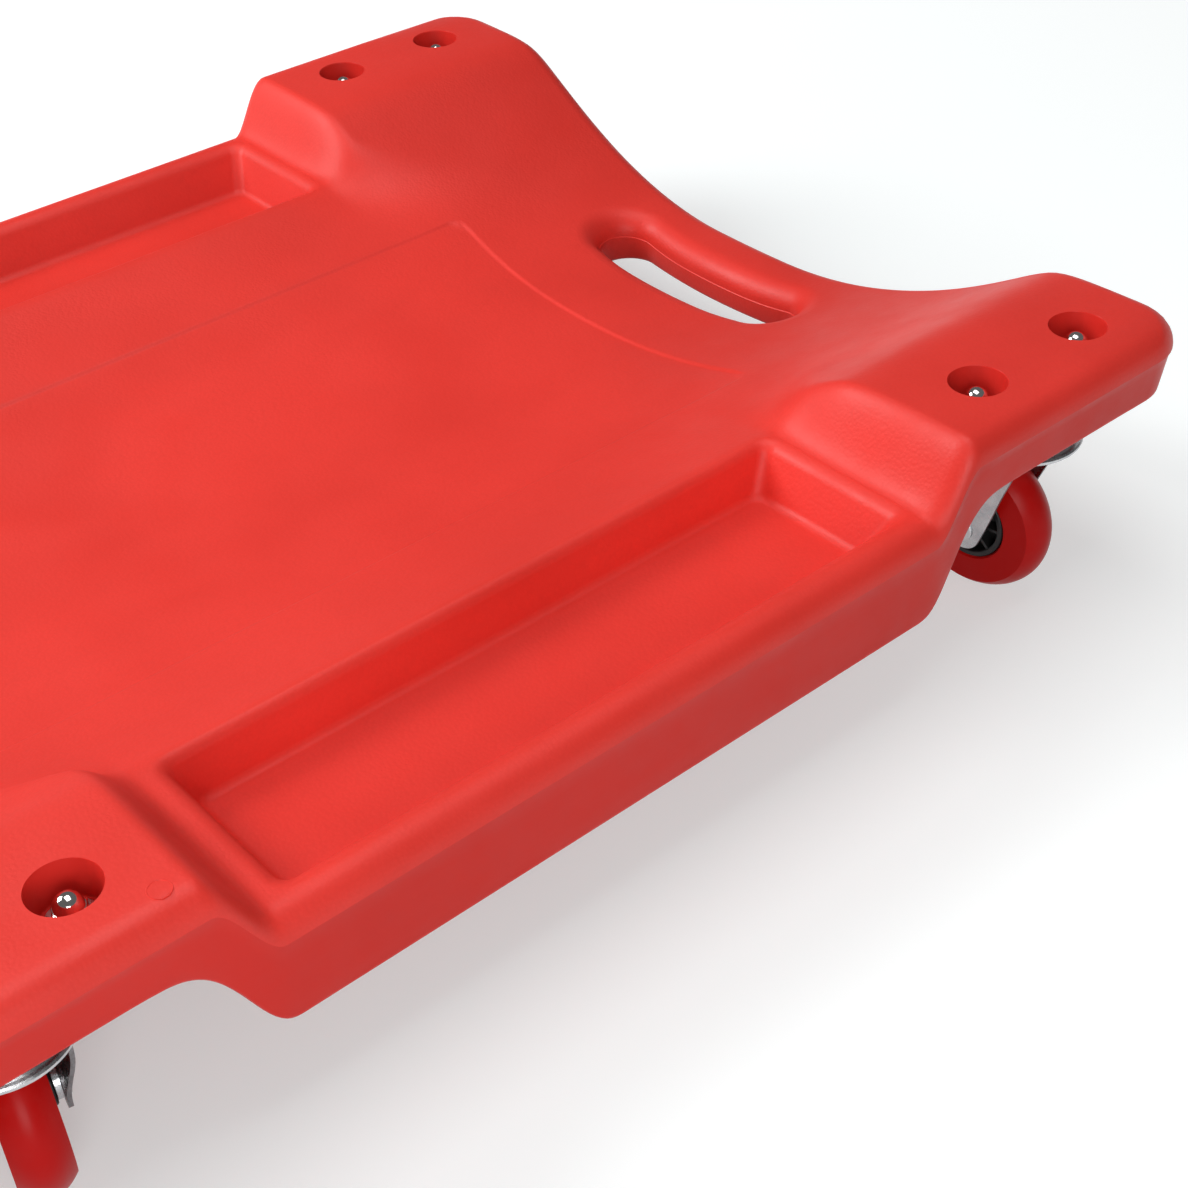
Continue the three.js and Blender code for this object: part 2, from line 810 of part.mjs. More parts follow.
// Axle bolt with its head and nut outside the fork legs
function axleSolid() {
  const face = forkHalfWidth + seatGap;
  const end = face + axleHeadHeight;
  const shank = cylinder(axleRadius, -face - axleHeadHeight / 2, end + seatGap, shankFacets);
  const head = hexagon(axleHeadWidth, -end, -face);
  const nut = hexagon(axleHeadWidth, face, end);
  const whole = geometryOf(join(shank, head, nut));
  whole.rotateY(Math.PI / 2);
  whole.translate(0, casterTrail, wheelRadius);
  return whole;
}

function buildCasters() {
  const shapes = {
    plate: geometryOf(plateSolid()),
    fork: geometryOf(forkSolid()),
    tyre: tyreGeometry(),
    hub: hubGeometry(),
    axle: axleSolid(),
    bolt: geometryOf(boltSolid()),
    nut: geometryOf(nutSolid()),
  };
  const rowNames = ['head', 'middle', 'foot'];
  rows.forEach((row, r) => {
    ['near', 'far'].forEach((sideName, s) => {
      const label = `${rowNames[r]}_${sideName}`;
      const station = new THREE.Group();
      station.position.set(row, (2 * s - 1) * casterLine, 0);
      creeper.add(station);
      addMesh(station, `plate_${label}`, shapes.plate, metal(zincGrey));
      for (const [k, end] of [-1, 1].entries()) {
        const bolt = addMesh(station, `bolt_${label}_${k + 1}`, shapes.bolt, metal(zincGrey));
        const nut = addMesh(station, `cap_nut_${label}_${k + 1}`, shapes.nut, metal(zincGrey));
        bolt.position.x = end * boltPitch / 2;
        nut.position.x = end * boltPitch / 2;
      }
      const swivel = new THREE.Group();
      swivel.rotation.z = THREE.MathUtils.degToRad(restAngles[r][s]);
      station.add(swivel);
      addMesh(swivel, `fork_${label}`, shapes.fork, metal(zincGrey));
      addMesh(swivel, `axle_${label}`, shapes.axle, metal(zincGrey));
      addMesh(swivel, `tyre_${label}`, shapes.tyre, plastic(tyreRed));
      addMesh(swivel, `hub_${label}`, shapes.hub, plastic(hubBlack));
    });
  });
}

// Headrest

// Facets along the long and the short sides of the pad, between its rounded corners
const padSideFacets = [3, 6];

// Levels of the pad's skin: its side grows out by this many board margins and its crown shrinks by this
// share of half the depth, each risen by its own share of the side or the crown
const padSideShares = [[-1, 0], [-0.33, 0.08], [0, 0.35], [0, 0.65], [-0.5, 0.93]];
const padCrownShares = [[0.25, 0.45], [0.5, 0.82], [0.81, 1]];
const padTopCornerShare = 0.52;

// Outline of the pad grown by a distance: rounded corners, with the sides drawn in between them
function padRing(grow, z) {
  const halfX = padDepth / 2 + grow;
  const halfY = padLength / 2 + grow;
  const corner = Math.min(padCorner + Math.max(grow, -padCorner / 2), halfX * padTopCornerShare);
  const corners = roundedRing(-halfX, halfX, -halfY, halfY, corner, z);
  const perCorner = cornerFacets + 1;
  const ring = [];
  for (let c = 0; c < 4; c += 1) {
    const arc = corners.slice(c * perCorner, (c + 1) * perCorner);
    const next = corners[((c + 1) * perCorner) % corners.length];
    const steps = padSideFacets[(c + 1) % 2];
    ring.push(...arc);
    for (let k = 1; k < steps; k += 1) {
      const point = arc[cornerFacets].clone().lerp(next, k / steps);
      const pull = 1 - padDrawIn * Math.sin(Math.PI * k / steps) / Math.hypot(point.x, point.y);
      ring.push(new THREE.Vector3(point.x * pull, point.y * pull, z));
    }
  }
  return ring;
}

function padGeometry(base) {
  const side = padThickness - padCrown;
  const sides = padSideShares.map(([grow, rise]) => padRing(grow * boardMargin, base + rise * side));
  const crown = padCrownShares.map(([shrink, rise]) => (
    padRing(-shrink * padDepth / 2, base + side + rise * padCrown)
  ));
  return loft([...sides, ...crown]);
}

function boardSolid(base) {
  const halfX = padDepth / 2 - boardMargin;
  const halfY = padLength / 2 - boardMargin;
  const rings = [base, base + boardThickness].map((z) => roundedRing(
    -halfX, halfX, -halfY, halfY, padCorner - boardMargin, z,
  ));
  const holes = [-1, 1].map((side) => cylinder(
    screwRadius + runningGap, base - overrun, base + screwBite + runningGap, roundFacets,
  ).translate(0, side * screwOffset, 0));
  return cut(solidOf(loft(rings)), ...holes);
}

function screwSolid(boardBase) {
  const face = earTop - seatDrop - screwSeatThickness - seatGap;
  const head = cylinder(screwHeadRadius, face - screwHeadHeight, face, shankFacets);
  const shank = cylinder(screwRadius, face - screwHeadHeight / 2, boardBase + screwBite, shankFacets);
  return join(head, shank);
}

function buildHeadrest() {
  const headrest = new THREE.Group();
  headrest.position.x = headrestCentre;
  creeper.add(headrest);
  const boardBase = earTop - seatDrop + seatGap;
  const padBase = boardBase + boardThickness + seatGap;
  addMesh(headrest, 'headrest_board', geometryOf(boardSolid(boardBase)), plastic(boardBrown));
  addMesh(headrest, 'headrest_pad', padGeometry(padBase), plastic(vinylBlack));
  const screw = geometryOf(screwSolid(boardBase));
  for (const [k, side] of [-1, 1].entries()) {
    const mesh = addMesh(headrest, `headrest_screw_${k + 1}`, screw, metal(zincGrey));
    mesh.position.y = side * screwOffset;
  }
}

buildDeck();
buildCasters();
buildHeadrest();

export default creeper;
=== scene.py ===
import json
import math

import bpy
import numpy as np
from mathutils import Matrix, Vector
from mathutils.bvhtree import BVHTree


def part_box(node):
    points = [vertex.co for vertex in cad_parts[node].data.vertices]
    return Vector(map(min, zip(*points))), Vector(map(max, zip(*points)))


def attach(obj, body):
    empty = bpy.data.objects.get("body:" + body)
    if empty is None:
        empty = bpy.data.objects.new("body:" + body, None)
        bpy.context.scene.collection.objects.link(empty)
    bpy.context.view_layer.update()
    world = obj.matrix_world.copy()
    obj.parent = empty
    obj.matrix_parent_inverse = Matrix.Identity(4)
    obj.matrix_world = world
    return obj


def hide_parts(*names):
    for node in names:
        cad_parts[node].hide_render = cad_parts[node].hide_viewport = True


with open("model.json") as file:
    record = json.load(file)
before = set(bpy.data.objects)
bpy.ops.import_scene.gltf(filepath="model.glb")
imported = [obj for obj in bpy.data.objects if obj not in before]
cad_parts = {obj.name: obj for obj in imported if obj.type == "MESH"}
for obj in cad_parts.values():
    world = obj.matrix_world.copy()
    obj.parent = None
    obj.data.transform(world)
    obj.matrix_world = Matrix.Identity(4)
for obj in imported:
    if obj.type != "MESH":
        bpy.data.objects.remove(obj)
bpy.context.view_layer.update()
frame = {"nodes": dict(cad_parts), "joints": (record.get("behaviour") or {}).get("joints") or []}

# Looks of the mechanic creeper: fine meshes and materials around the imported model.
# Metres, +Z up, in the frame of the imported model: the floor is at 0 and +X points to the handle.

# Camera, solved on the photograph: place, turn about Z, tilt down, roll about the line of sight
CAMERA_PLACE = Vector((-0.0919, -0.5912, 0.4923))
CAMERA_YAW = math.radians(38.915)
CAMERA_PITCH = math.radians(37.548)
CAMERA_ROLL = math.radians(2.756)
CAMERA_LENS = 59.0
CAMERA_SENSOR = 36

# Deck sizes read from the frame
DECK_LOW, DECK_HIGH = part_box("deck")
HALF_LENGTH = DECK_HIGH.x
HALF_WIDTH = DECK_HIGH.y
EAR_TOP = DECK_HIGH.z
BELLY = DECK_LOW.z
SWIVELS = {j["child"][7:]: j for j in frame["joints"] if j["child"].startswith("swivel_")}
ROLLS = {j["child"][6:]: j for j in frame["joints"] if j["child"].startswith("wheel_")}
ROW = SWIVELS["foot_near"]["pos_m"][0]
CASTER_LINE = SWIVELS["foot_far"]["pos_m"][1]

# Deck sizes that the part's source names
EAR_THICKNESS = 0.0295
SHOULDER_DROP = 0.026
DISH_DROP = 0.048
BELLY_DROP = EAR_TOP - BELLY
FOOT_DIP = 0.003
FOOT_DIP_RUN = 0.090
EAR_CREASE = HALF_WIDTH - 0.067
SHOULDER = HALF_WIDTH - 0.085
DISH_FLAT = 0.020
EAR_HALF = 0.056
EAR_SLOPE = 0.021
EAR_GROWTH = 0.004
EAR_CORNER_RUN = 0.060
EAR_CORNER_WIDTH = 0.050
UNDER_START = 0.026
UNDER_RUN = 0.056
TOP_ROUND = 0.0095
BOTTOM_ROUND = 0.0025
SKIRT_DRAFT = 0.003
CORNER = 0.024
END_HOLLOW = 0.007
WAIST_DEPTH = 0.062
WAIST_MIDDLE = -ROW / 2
WAIST_REACH = ROW / 2 - 0.0525
CREASE_SOFTNESS = 0.0065
PARTING_STEP = 0.00035

# Trays, handle slot, recesses and what is cut into the underside
TRAY_DEPTH = 0.020
TRAY_MIDDLE = ROW / 2
TRAY_REACH = TRAY_MIDDLE - 0.093
TRAY_INNER = SHOULDER + 0.0055
TRAY_OUTER = HALF_WIDTH - 0.0245
TRAY_RUNS = (0.003, 0.011, 0.008)
TRAY_CORNER = 0.005
TRAY_FLOOR_ROUND = 0.0025
TRAY_LIP = 0.004
SLOT_CENTRE = HALF_LENGTH - 0.0515
SLOT_HALF_LONG = 0.061
SLOT_HALF_WIDE = 0.014
SLOT_BOW = 0.0062
SLOT_SOFT = 0.010
SLOT_LEDGE = 0.0003
RECESS_RADIUS = 0.0111
RECESS_DEPTH = 0.015
RECESS_DRAFT = 0.0005
RECESS_LIP = 0.0009
BOLT_HOLE = 0.0033
POCKET_HALF = (0.042, 0.026)
POCKET_CORNER = 0.011
CASTER_TOP = 0.089
CHANNEL_PITCH = 0.050
CHANNEL_REACH = ROW / 2 - 0.0925
CHANNEL_HALF = 0.008
CHANNEL_DEPTH = 0.009
CHANNEL_DRAFT = 0.003
CHANNEL_FLAT = 0.0003
SEAT_DROP = 0.036
SEAT_RUN = 0.040
SEAT_MARGIN = 0.013
WELL_RADIUS = 0.009
WELL_ROOF = 0.009
WELL_HOLE_REACH = 0.020
SCREW_HOLE = 0.0028
OVERRUN = 0.005

# Raised ring that the mould leaves on the near middle ear
WITNESS_PLACE = (0.048, -0.2245)
WITNESS_RADIUS = 0.0036
WITNESS_WIRE = 0.00013

# Lying panel, let into the cradle by a soft step
PANEL_DEPTH = 0.0008
PANEL_STEP = 0.0022
PANEL_HALF_WIDE = 0.098
PANEL_FOOT = 0.3865
PANEL_HEAD = -0.316
PANEL_BOW = 0.0075
PANEL_CORNER = 0.008

# Grid of the top: its counts and steps, and where the fine steps over the ears' slopes begin and end
ROUND_STEPS = 9
DISH_STEPS = 24
FLANK_STEPS = 20
FINE_STEP = 0.0016
COARSE_STEP = 0.0055
SLOPE_SKIP = 0.012
SLOPE_PAST = 0.006

# Headrest. The cover's levels are shares: how much of the margin it grows by, and of its height
PAD_LOW, PAD_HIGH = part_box("headrest_pad")
PAD_MIDDLE = (PAD_LOW + PAD_HIGH) / 2
PAD_MARGIN = 0.007
PAD_CORNER = 0.026
PAD_DRAW_IN = 0.003
PAD_INSET = 0.0012
PAD_FOOT = 0.0004
PAD_SPARE = 0.003
PAD_AIR = 0.0003
PAD_SIDE_POINTS = (26, 10)
SEAM_SHARE = 0.66
PAD_SHARES = ((-1, 0), (-0.45, 0.03), (-0.12, 0.1), (0, 0.22), (0, 0.42), (-0.1, 0.56), (-0.32, SEAM_SHARE),
              (-0.75, 0.74), (-1.7, 0.82), (-3.1, 0.89), (-4.9, 0.945), (-6.4, 0.975), (-7.4, 0.99))
PIPING_RADIUS = 0.0017
SKIN_VOXEL = 0.0045
SWELL_OUT = 0.006
SWELL_IN = 0.0015
COVER_CLOTH = (("use_pressure", True), ("uniform_pressure_force", 4), ("tension_stiffness", 15),
               ("compression_stiffness", 15), ("bending_stiffness", 0.8), ("shrink_min", -0.02))
BOARD_EDGE = 0.0004
SCREW_SHANK = 0.0025
SCREW_HEAD_HEIGHT = 0.003
SCREW_TIP = 0.002
CROSS_HALF = 0.0005
CROSS_DEPTH = 0.0016
CROSS_OVERRUN = 0.001
CROSS_TURN = 20
SEAT_START = PAD_HIGH.x
SEAT_HALF = PAD_HIGH.y - PAD_MARGIN + SEAT_MARGIN

# Caster sizes that the part's source names, and those read from the frame
RUNNING_GAP = 0.0003
PLATE_TOP = CASTER_TOP - RUNNING_GAP
PLATE_THICKNESS = 0.0025
PLATE_LOBE = 0.011
PLATE_CENTRE = 0.024
PLATE_EDGE = 0.0003
CUP_RADIUS = 0.019
CUP_TAPER = 0.002
CUP_DEPTH = 0.008
CUP_FILLET = 0.0012
KINGPIN = 0.005
RIVET_RADIUS = 0.0068
RIVET_HEIGHT = 0.0025
SHEET = 0.0022
CROWN_RADIUS = 0.024
CROWN_EDGE = 0.0006
RACE_SETBACK = 0.0023
RACE_RISE = 0.0035
RACE_AIR = 0.00005
LEG_SHEET = 0.0015
LEG_EDGE = 0.0003
LEG_BEND = 0.004
LEG_FRONT = 0.011
LEG_BACK = 0.013
LEG_FOOT = 0.0075
LEG_HEEL = 205
LEG_FOOT_SHIFT = (-0.0015, -0.0015)
KNEE_RISE = 0.002
KNEE_RUN = 0.026
KNEE_OVERLAP = 0.002
LEG_STEP = 0.0035
LEG_CLEARANCE = 0.003
WHEEL_RADIUS = ROLLS["foot_near"]["pos_m"][2]
WHEEL_HALF = 0.00875
TYRE_SIDE = 0.0276
TYRE_EDGE = 0.0002
BEAD_SLOPE = (0.0009, 0.0008)
MOULD_LINE = 0.0003
FLOOR_AIR = 0.00003
HUB_RADIUS = 0.016
HUB_BOSS = 0.0075
HUB_RIM = 0.0136
HUB_WEB = 0.0022
HUB_INSET = 0.0002
HUB_EDGE = 0.0005
HUB_DRAFT = 0.0003
HUB_FILLET = 0.0008
HUB_ROUND = 0.0004
RIB_HALF = 0.0006
RIB_SETBACK = 0.001
AXLE_RADIUS = 0.004
AXLE_BORE = 0.0043
AXLE_HEAD = (0.0058, 0.0016)
AXLE_AIR = 0.0001
SPACER = 0.0014
SPACER_RADIUS = 0.0062
BOLT_RADIUS = 0.003
BOLT_HEAD = (0.010, 0.004)
BOLT_CHAMFER = 0.0004
NUT_WIDTH = 0.010
NUT_HEX = 0.005
WASHER_RADIUS = 0.0085
WASHER_THICKNESS = 0.0015
WASHER_EDGE = 0.0003
DOME_RADIUS = 0.0046
DOME_NECK = 0.0043
DOME_WALL = 0.003
NUT_TWIST = (17, 23, 11)
NUT_LOW, NUT_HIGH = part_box("cap_nut_foot_near_1")
BOLT_HALF_PITCH = ROW - (NUT_LOW.x + NUT_HIGH.x) / 2
TRAIL = math.dist(SWIVELS["foot_near"]["pos_m"][:2], ROLLS["foot_near"]["pos_m"][:2])

PLATE_BOTTOM = PLATE_TOP - PLATE_THICKNESS
CROWN_TOP = PLATE_BOTTOM - CUP_DEPTH - RUNNING_GAP
CROWN_UNDER = CROWN_TOP - SHEET
YOKE_ROOF = CROWN_UNDER + SHEET / 2
FORK_GAP = WHEEL_HALF + LEG_CLEARANCE
FORK_HALF = FORK_GAP + SHEET
HIP_HALF = FORK_HALF + LEG_STEP

# Light. The floor's glow has strengths at shares of its reach; it is weaker near the creeper, which paints a
# shadow there
FLOOR_GLOW_AND_PAINTED_SHADOW = ((0.10, 0.36), (0.24, 0.54), (0.42, 0.60), (0.85, 1.0))
PAINTED_SHADOW_REACH = 1.5
PAINTED_SHADOW_NARROWING = 0.5
FLOOR_REACH = 8.0
FLOOR_WHITE = (0.59, 0.63, 0.63)
WORLD_FILL = 0.10
HORIZON_HEIGHT = 0.22
CEILING = 0.12
LIGHT_AIM = (0.2, 0, 0.08)

# Colours of the plastics
DECK_RED = (0.80, 0.034, 0.022)
SKIRT_RED = (0.70, 0.030, 0.022)
TYRE_RED = (0.54, 0.006, 0.005)


def collection_link(obj):
    bpy.context.scene.collection.objects.link(obj)
    return obj


def mesh_object(name, vertices, faces, materials=(), indices=None, sharp_angle=32):
    """A smooth-shaded mesh whose edges are sharp past an angle in degrees."""
    mesh = bpy.data.meshes.new(name)
    mesh.from_pydata(np.asarray(vertices, float).tolist(), [], [list(map(int, f)) for f in faces])
    for material in materials:
        mesh.materials.append(material)
    if indices is not None:
        mesh.polygons.foreach_set("material_index", np.asarray(indices, np.int32))
    mesh.shade_smooth()
    mesh.set_sharp_from_angle(angle=math.radians(sharp_angle))
    return collection_link(bpy.data.objects.new(name, mesh))


def loft(rings, closed_path=False):
    """Vertices and faces of a closed skin through rings of equal count, capped or meeting its own start."""
    rings = np.asarray(rings, float)
    count, around = rings.shape[:2]
    index = np.arange(count * around).reshape(count, around)
    following = np.roll(index, -1, axis=1)
    if closed_path:
        above, above_next = np.roll(index, -1, axis=0), np.roll(following, -1, axis=0)
        quads = np.stack([index, following, above_next, above], axis=-1).reshape(-1, 4)
        return rings.reshape(-1, 3), quads.tolist()
    quads = np.stack([index[:-1], following[:-1], following[1:], index[1:]], axis=-1).reshape(-1, 4)
    return rings.reshape(-1, 3), quads.tolist() + [index[0][::-1].tolist(), index[-1].tolist()]


def turns(count):
    """Angles evenly round a circle."""
    return np.arange(count) * 2 * math.pi / count


def quarter(steps):
    """Angles from nothing to a quarter turn."""
    return np.linspace(0, math.pi / 2, steps)


def lathe(profile, steps):
    """Vertices and faces of (radius, height) points turned about Z. They close on themselves or on the axis."""
    vertices, faces, rows = [], [], []
    for radius, height in profile:
        if radius == 0:
            rows.append([len(vertices)] * steps)
            vertices.append((0, 0, height))
        else:
            rows.append(list(range(len(vertices), len(vertices) + steps)))
            vertices += [(radius * math.cos(t), radius * math.sin(t), height) for t in turns(steps)]
    if profile[0][0] != 0:
        rows.append(rows[0])
    for low, high in zip(rows, rows[1:]):
        for k in range(steps):
            n = (k + 1) % steps
            faces.append(list(dict.fromkeys([low[k], low[n], high[n], high[k]])))
    return vertices, faces


def rod(radius, low, high, steps):
    return lathe([(0, low), (radius, low), (radius, high), (0, high)], steps)


def joined(parts):
    """Several (vertices, faces) as one."""
    vertices, faces = [], []
    for some, more in parts:
        base = len(vertices)
        vertices += [tuple(v) for v in some]
        faces += [[base + k for k in f] for f in more]
    return vertices, faces


def moved(part, x=0.0, y=0.0, z=0.0):
    vertices, faces = part
    return np.asarray(vertices, float) + (x, y, z), faces


def fix(obj):
    """Turns the object's modifiers into its mesh."""
    graph = bpy.context.evaluated_depsgraph_get()
    result = bpy.data.meshes.new_from_object(obj.evaluated_get(graph))
    obj.modifiers.clear()
    old, obj.data = obj.data, result
    bpy.data.meshes.remove(old)


def carve(target, part, operation="DIFFERENCE", index=0):
    """Cuts or adds a closed shape, whose faces get the target's material of that index."""
    tool = mesh_object("tool", *part, target.data.materials, [index] * len(part[1]))
    change = target.modifiers.new("carve", "BOOLEAN")
    change.operation = operation
    change.solver = "MANIFOLD"
    change.object = tool
    fix(target)
    used = tool.data
    bpy.data.objects.remove(tool)
    bpy.data.meshes.remove(used)


def polish(target, sharp_angle=32):
    target.data.shade_smooth()
    target.data.set_sharp_from_angle(angle=math.radians(sharp_angle))


# Heights of the deck, on arrays of places

def ease(t):
    c = np.clip(t, 0, 1)
    return c * c * (3 - 2 * c)


def mix(a, b, share):
    return a + (b - a) * share


def row_distance(x):
    return np.minimum(np.abs(x), np.maximum(ROW - EAR_GROWTH - np.abs(x), 0))


def middle_drop(x):
    return DISH_DROP + FOOT_DIP * ease((x - ROW + FOOT_DIP_RUN) / FOOT_DIP_RUN)


def ear_lift(x, a):
    fade = EAR_CORNER_RUN * ease((TRAY_INNER - a) / EAR_CORNER_WIDTH)
    return 1 - ease((row_distance(x) - EAR_HALF + fade) / (EAR_SLOPE + fade))


def seat_share(x):
    return ease((SEAT_START + SEAT_RUN - x) / SEAT_RUN)


def flank_drop(x, a):
    share = np.minimum(a / SHOULDER, 1)
    deep = middle_drop(x)
    dished = deep - (deep - SHOULDER_DROP) * share * share
    seat = np.where(a < SEAT_HALF, SEAT_DROP, np.minimum(SEAT_DROP, dished))
    return mix(dished, seat, seat_share(x))


def ear_drop(x, a, softness=CREASE_SOFTNESS):
    """The scoop between two ears, which turns into the flat ear tops over a soft crease."""
    run = EAR_CREASE - DISH_FLAT
    rise = np.maximum((a - DISH_FLAT) / run, 0)
    hard = middle_drop(x) * (1 - rise ** 2.1)
    dished = (hard + np.hypot(hard, softness)) / 2
    seat_rise = ease((a - SEAT_HALF) / (EAR_CREASE - SEAT_HALF))
    return mix(dished, SEAT_DROP * (1 - seat_rise), seat_share(x))


def top_drop(x, a):
    return mix(flank_drop(x, a), ear_drop(x, a), ear_lift(x, a))


def underside_drop(x, a):
    t = np.clip((row_distance(x) - UNDER_START) / UNDER_RUN, 0, 1)
    share = 1 - (1 - t ** 4.5) ** 4.5
    under_ear = np.minimum(ear_drop(x, a, 0) + EAR_THICKNESS, BELLY_DROP)
    return mix(under_ear, BELLY_DROP, share)


def outline_width(x):
    t = np.minimum(np.abs(x - WAIST_MIDDLE) / WAIST_REACH, 1)
    return HALF_WIDTH - WAIST_DEPTH * (1 - t * t) ** 1.6


def side_stretch(x):
    step = HALF_LENGTH / 500
    return np.hypot(1, (outline_width(x + step) - outline_width(x - step)) / (2 * step))


def end_reach(a, inset):
    hollow = END_HOLLOW * (1 - ease(a / EAR_CREASE))
    radius = CORNER - inset
    past = np.maximum(a - (HALF_WIDTH - CORNER), 0)
    rounding = radius - np.sqrt(np.maximum(radius * radius - past * past, 0))
    return HALF_LENGTH - inset - hollow - rounding


def edge_distance(x, a):
    to_side = (outline_width(x) - a) / side_stretch(x)
    to_end = end_reach(np.minimum(a, HALF_WIDTH - CORNER), 0) - np.abs(x)
    in_corner = (to_side < CORNER) & (to_end < CORNER)
    to_corner = CORNER - np.hypot(CORNER - to_side, CORNER - to_end)
    return np.where(in_corner, to_corner, np.minimum(to_side, to_end))


def round_drop(distance):
    inset = TOP_ROUND - np.clip(distance, 0, TOP_ROUND)
    return TOP_ROUND - np.sqrt(TOP_ROUND ** 2 - inset ** 2)


def panel_drop(x, a):
    bow = PANEL_BOW * (a / PANEL_HALF_WIDE) ** 2
    half = (PANEL_FOOT - PANEL_HEAD) / 2 + bow - PANEL_CORNER
    past_end = np.abs(x - (PANEL_FOOT + PANEL_HEAD) / 2) - half
    past_side = a - PANEL_HALF_WIDE + PANEL_CORNER
    outside = np.hypot(np.maximum(past_end, 0), np.maximum(past_side, 0))
    distance = outside + np.minimum(np.maximum(past_end, past_side), 0) - PANEL_CORNER
    return PANEL_DEPTH * ease(0.5 - distance / PANEL_STEP)


def top_height(x, a):
    return EAR_TOP - top_drop(x, a) - panel_drop(x, a) - round_drop(edge_distance(x, a))


# The moulded body before any cut

def section_places():
    """Places along X: fine over the slopes of the ears and the ends of the panel, coarser elsewhere."""
    places = []
    x = -ROW
    while x < ROW:
        near_slope = UNDER_START + SLOPE_SKIP < float(row_distance(x)) < UNDER_START + UNDER_RUN + SLOPE_PAST
        near_step = min(abs(x - PANEL_FOOT - PANEL_BOW / 2), abs(x - PANEL_HEAD + PANEL_BOW / 2)) < PANEL_BOW
        places.append(x)
        x += PANEL_STEP / 4 if near_step else FINE_STEP if near_slope else COARSE_STEP
    return places + [ROW]


def dish_places():
    """Places across the dish, with a fine stretch over the side of the panel."""
    step = np.linspace(PANEL_HALF_WIDE - PANEL_STEP * 0.6, PANEL_HALF_WIDE + PANEL_STEP * 0.6, 7)
    inside = np.linspace(0, step[0], DISH_STEPS, endpoint=False)
    return np.concatenate([inside, step, np.linspace(step[-1], SHOULDER, DISH_STEPS // 2)[1:]])


def ring_shares():
    """Shares of the rounded edge still ahead, from its inner start to the parting line."""
    return 1 - np.sin(quarter(ROUND_STEPS))


def plan_of_top():
    """Places of the top's grid, sections along X by columns from the near to the far edge."""
    shares = ring_shares()
    xs = np.array(section_places())
    nominal = np.concatenate([np.full(ROUND_STEPS, -ROW), xs, np.full(ROUND_STEPS, ROW)])
    ends = np.concatenate([-np.ones(ROUND_STEPS), np.zeros(len(xs)), np.ones(ROUND_STEPS)])
    rings = np.concatenate([shares[::-1], np.zeros(len(xs)), shares]) * TOP_ROUND
    edge = outline_width(nominal)[:, None]
    stretch = side_stretch(nominal)[:, None]
    flank_end = edge - TOP_ROUND * stretch
    dish = np.broadcast_to(dish_places(), (len(nominal), len(dish_places())))
    flank = mix(SHOULDER, flank_end, np.linspace(0, 1, FLANK_STEPS)[1:-1])
    rounded = edge - shares * TOP_ROUND * stretch
    half = np.concatenate([dish, flank, rounded], axis=1)
    offsets = np.concatenate([-half[:, :0:-1], half], axis=1)
    return nominal, ends, rings, offsets


def at_section(nominal, ends, rings, a, inset):
    """X of grid points: the section's own, or the reach of the end less its ring."""
    reach = end_reach(a, inset) - rings[:, None]
    return np.where(ends[:, None] == 0, nominal[:, None], ends[:, None] * reach)


def perimeter(rows, columns):
    """Grid indices round the outside, anticlockwise from above."""
    index = np.arange(rows * columns).reshape(rows, columns)
    return np.concatenate([index[:-1, 0], index[-1, :-1], index[:0:-1, -1], index[0, :0:-1]])


def build_body():
    """Top grid, skirt rows and belly grid as one closed skin, with the skirt and belly in material 1."""
    nominal, ends, rings, offsets = plan_of_top()
    rows, columns = offsets.shape

    def grid(y, inset, height):
        x = at_section(nominal, ends, rings, np.abs(y), inset)
        return np.stack([x, y, height(x, np.abs(y))], axis=-1).reshape(-1, 3)

    inset = SKIRT_DRAFT + BOTTOM_ROUND
    edge = outline_width(nominal)[:, None]
    top = grid(offsets, 0, top_height)
    belly = grid(offsets * (edge - inset) / edge, inset, lambda x, a: EAR_TOP - underside_drop(x, a))
    ring = perimeter(rows, columns)
    outer, inner = top[ring], belly[ring]
    high, low = outer[:, 2], inner[:, 2] + BOTTOM_ROUND
    below = PARTING_STEP * 1.6
    levels = [(PARTING_STEP, mix(high, low, 0.004)), (below, mix(high, low, 0.02))]
    levels += [(mix(below, SKIRT_DRAFT, t), mix(high, low, t)) for t in (0.25, 0.5, 0.75, 1)]
    levels += [(SKIRT_DRAFT + BOTTOM_ROUND * (1 - math.cos(t)), low - BOTTOM_ROUND * math.sin(t))
               for t in quarter(5)[1:-1]]
    skirt = []
    for out, z in levels:
        row = mix(outer, inner, out / inset)
        row[:, 2] = z
        skirt.append(row)
    index = np.arange(rows * columns).reshape(rows, columns)
    quads = np.stack([index[:-1, :-1], index[1:, :-1], index[1:, 1:], index[:-1, 1:]], axis=-1)
    quads = quads.reshape(-1, 4)
    around = len(top) + np.arange(len(ring))
    floor = len(top) + len(skirt) * len(ring)
    rims = [ring, *(around + k * len(ring) for k in range(len(skirt))), floor + ring]
    sides = [np.stack([lower, np.roll(lower, -1), np.roll(upper, -1), upper], axis=-1)
             for upper, lower in zip(rims, rims[1:])]
    faces = np.concatenate([quads, *sides, quads[:, ::-1] + floor])
    material = (np.arange(len(faces)) >= len(quads)).astype(np.int32)
    return np.concatenate([top, *skirt, belly]), faces, material


def rounded_ring(x, y, half_x, half_y, radius, z, steps=8):
    """A rectangle with rounded corners about a middle, anticlockwise from above."""
    points = []
    for start, (way_x, way_y) in enumerate(((1, -1), (1, 1), (-1, 1), (-1, -1)), -1):
        for k in range(steps + 1):
            turn = (start + k / steps) * math.pi / 2
            points.append((x + way_x * (half_x - radius) + radius * math.cos(turn),
                           y + way_y * (half_y - radius) + radius * math.sin(turn), z))
    return points


def fillet(radius, z, size, steps):
    """Points of a rounding from a floor up into a wall."""
    return [(radius - size * (1 - math.sin(t)), z + size * (1 - math.cos(t))) for t in quarter(steps)]


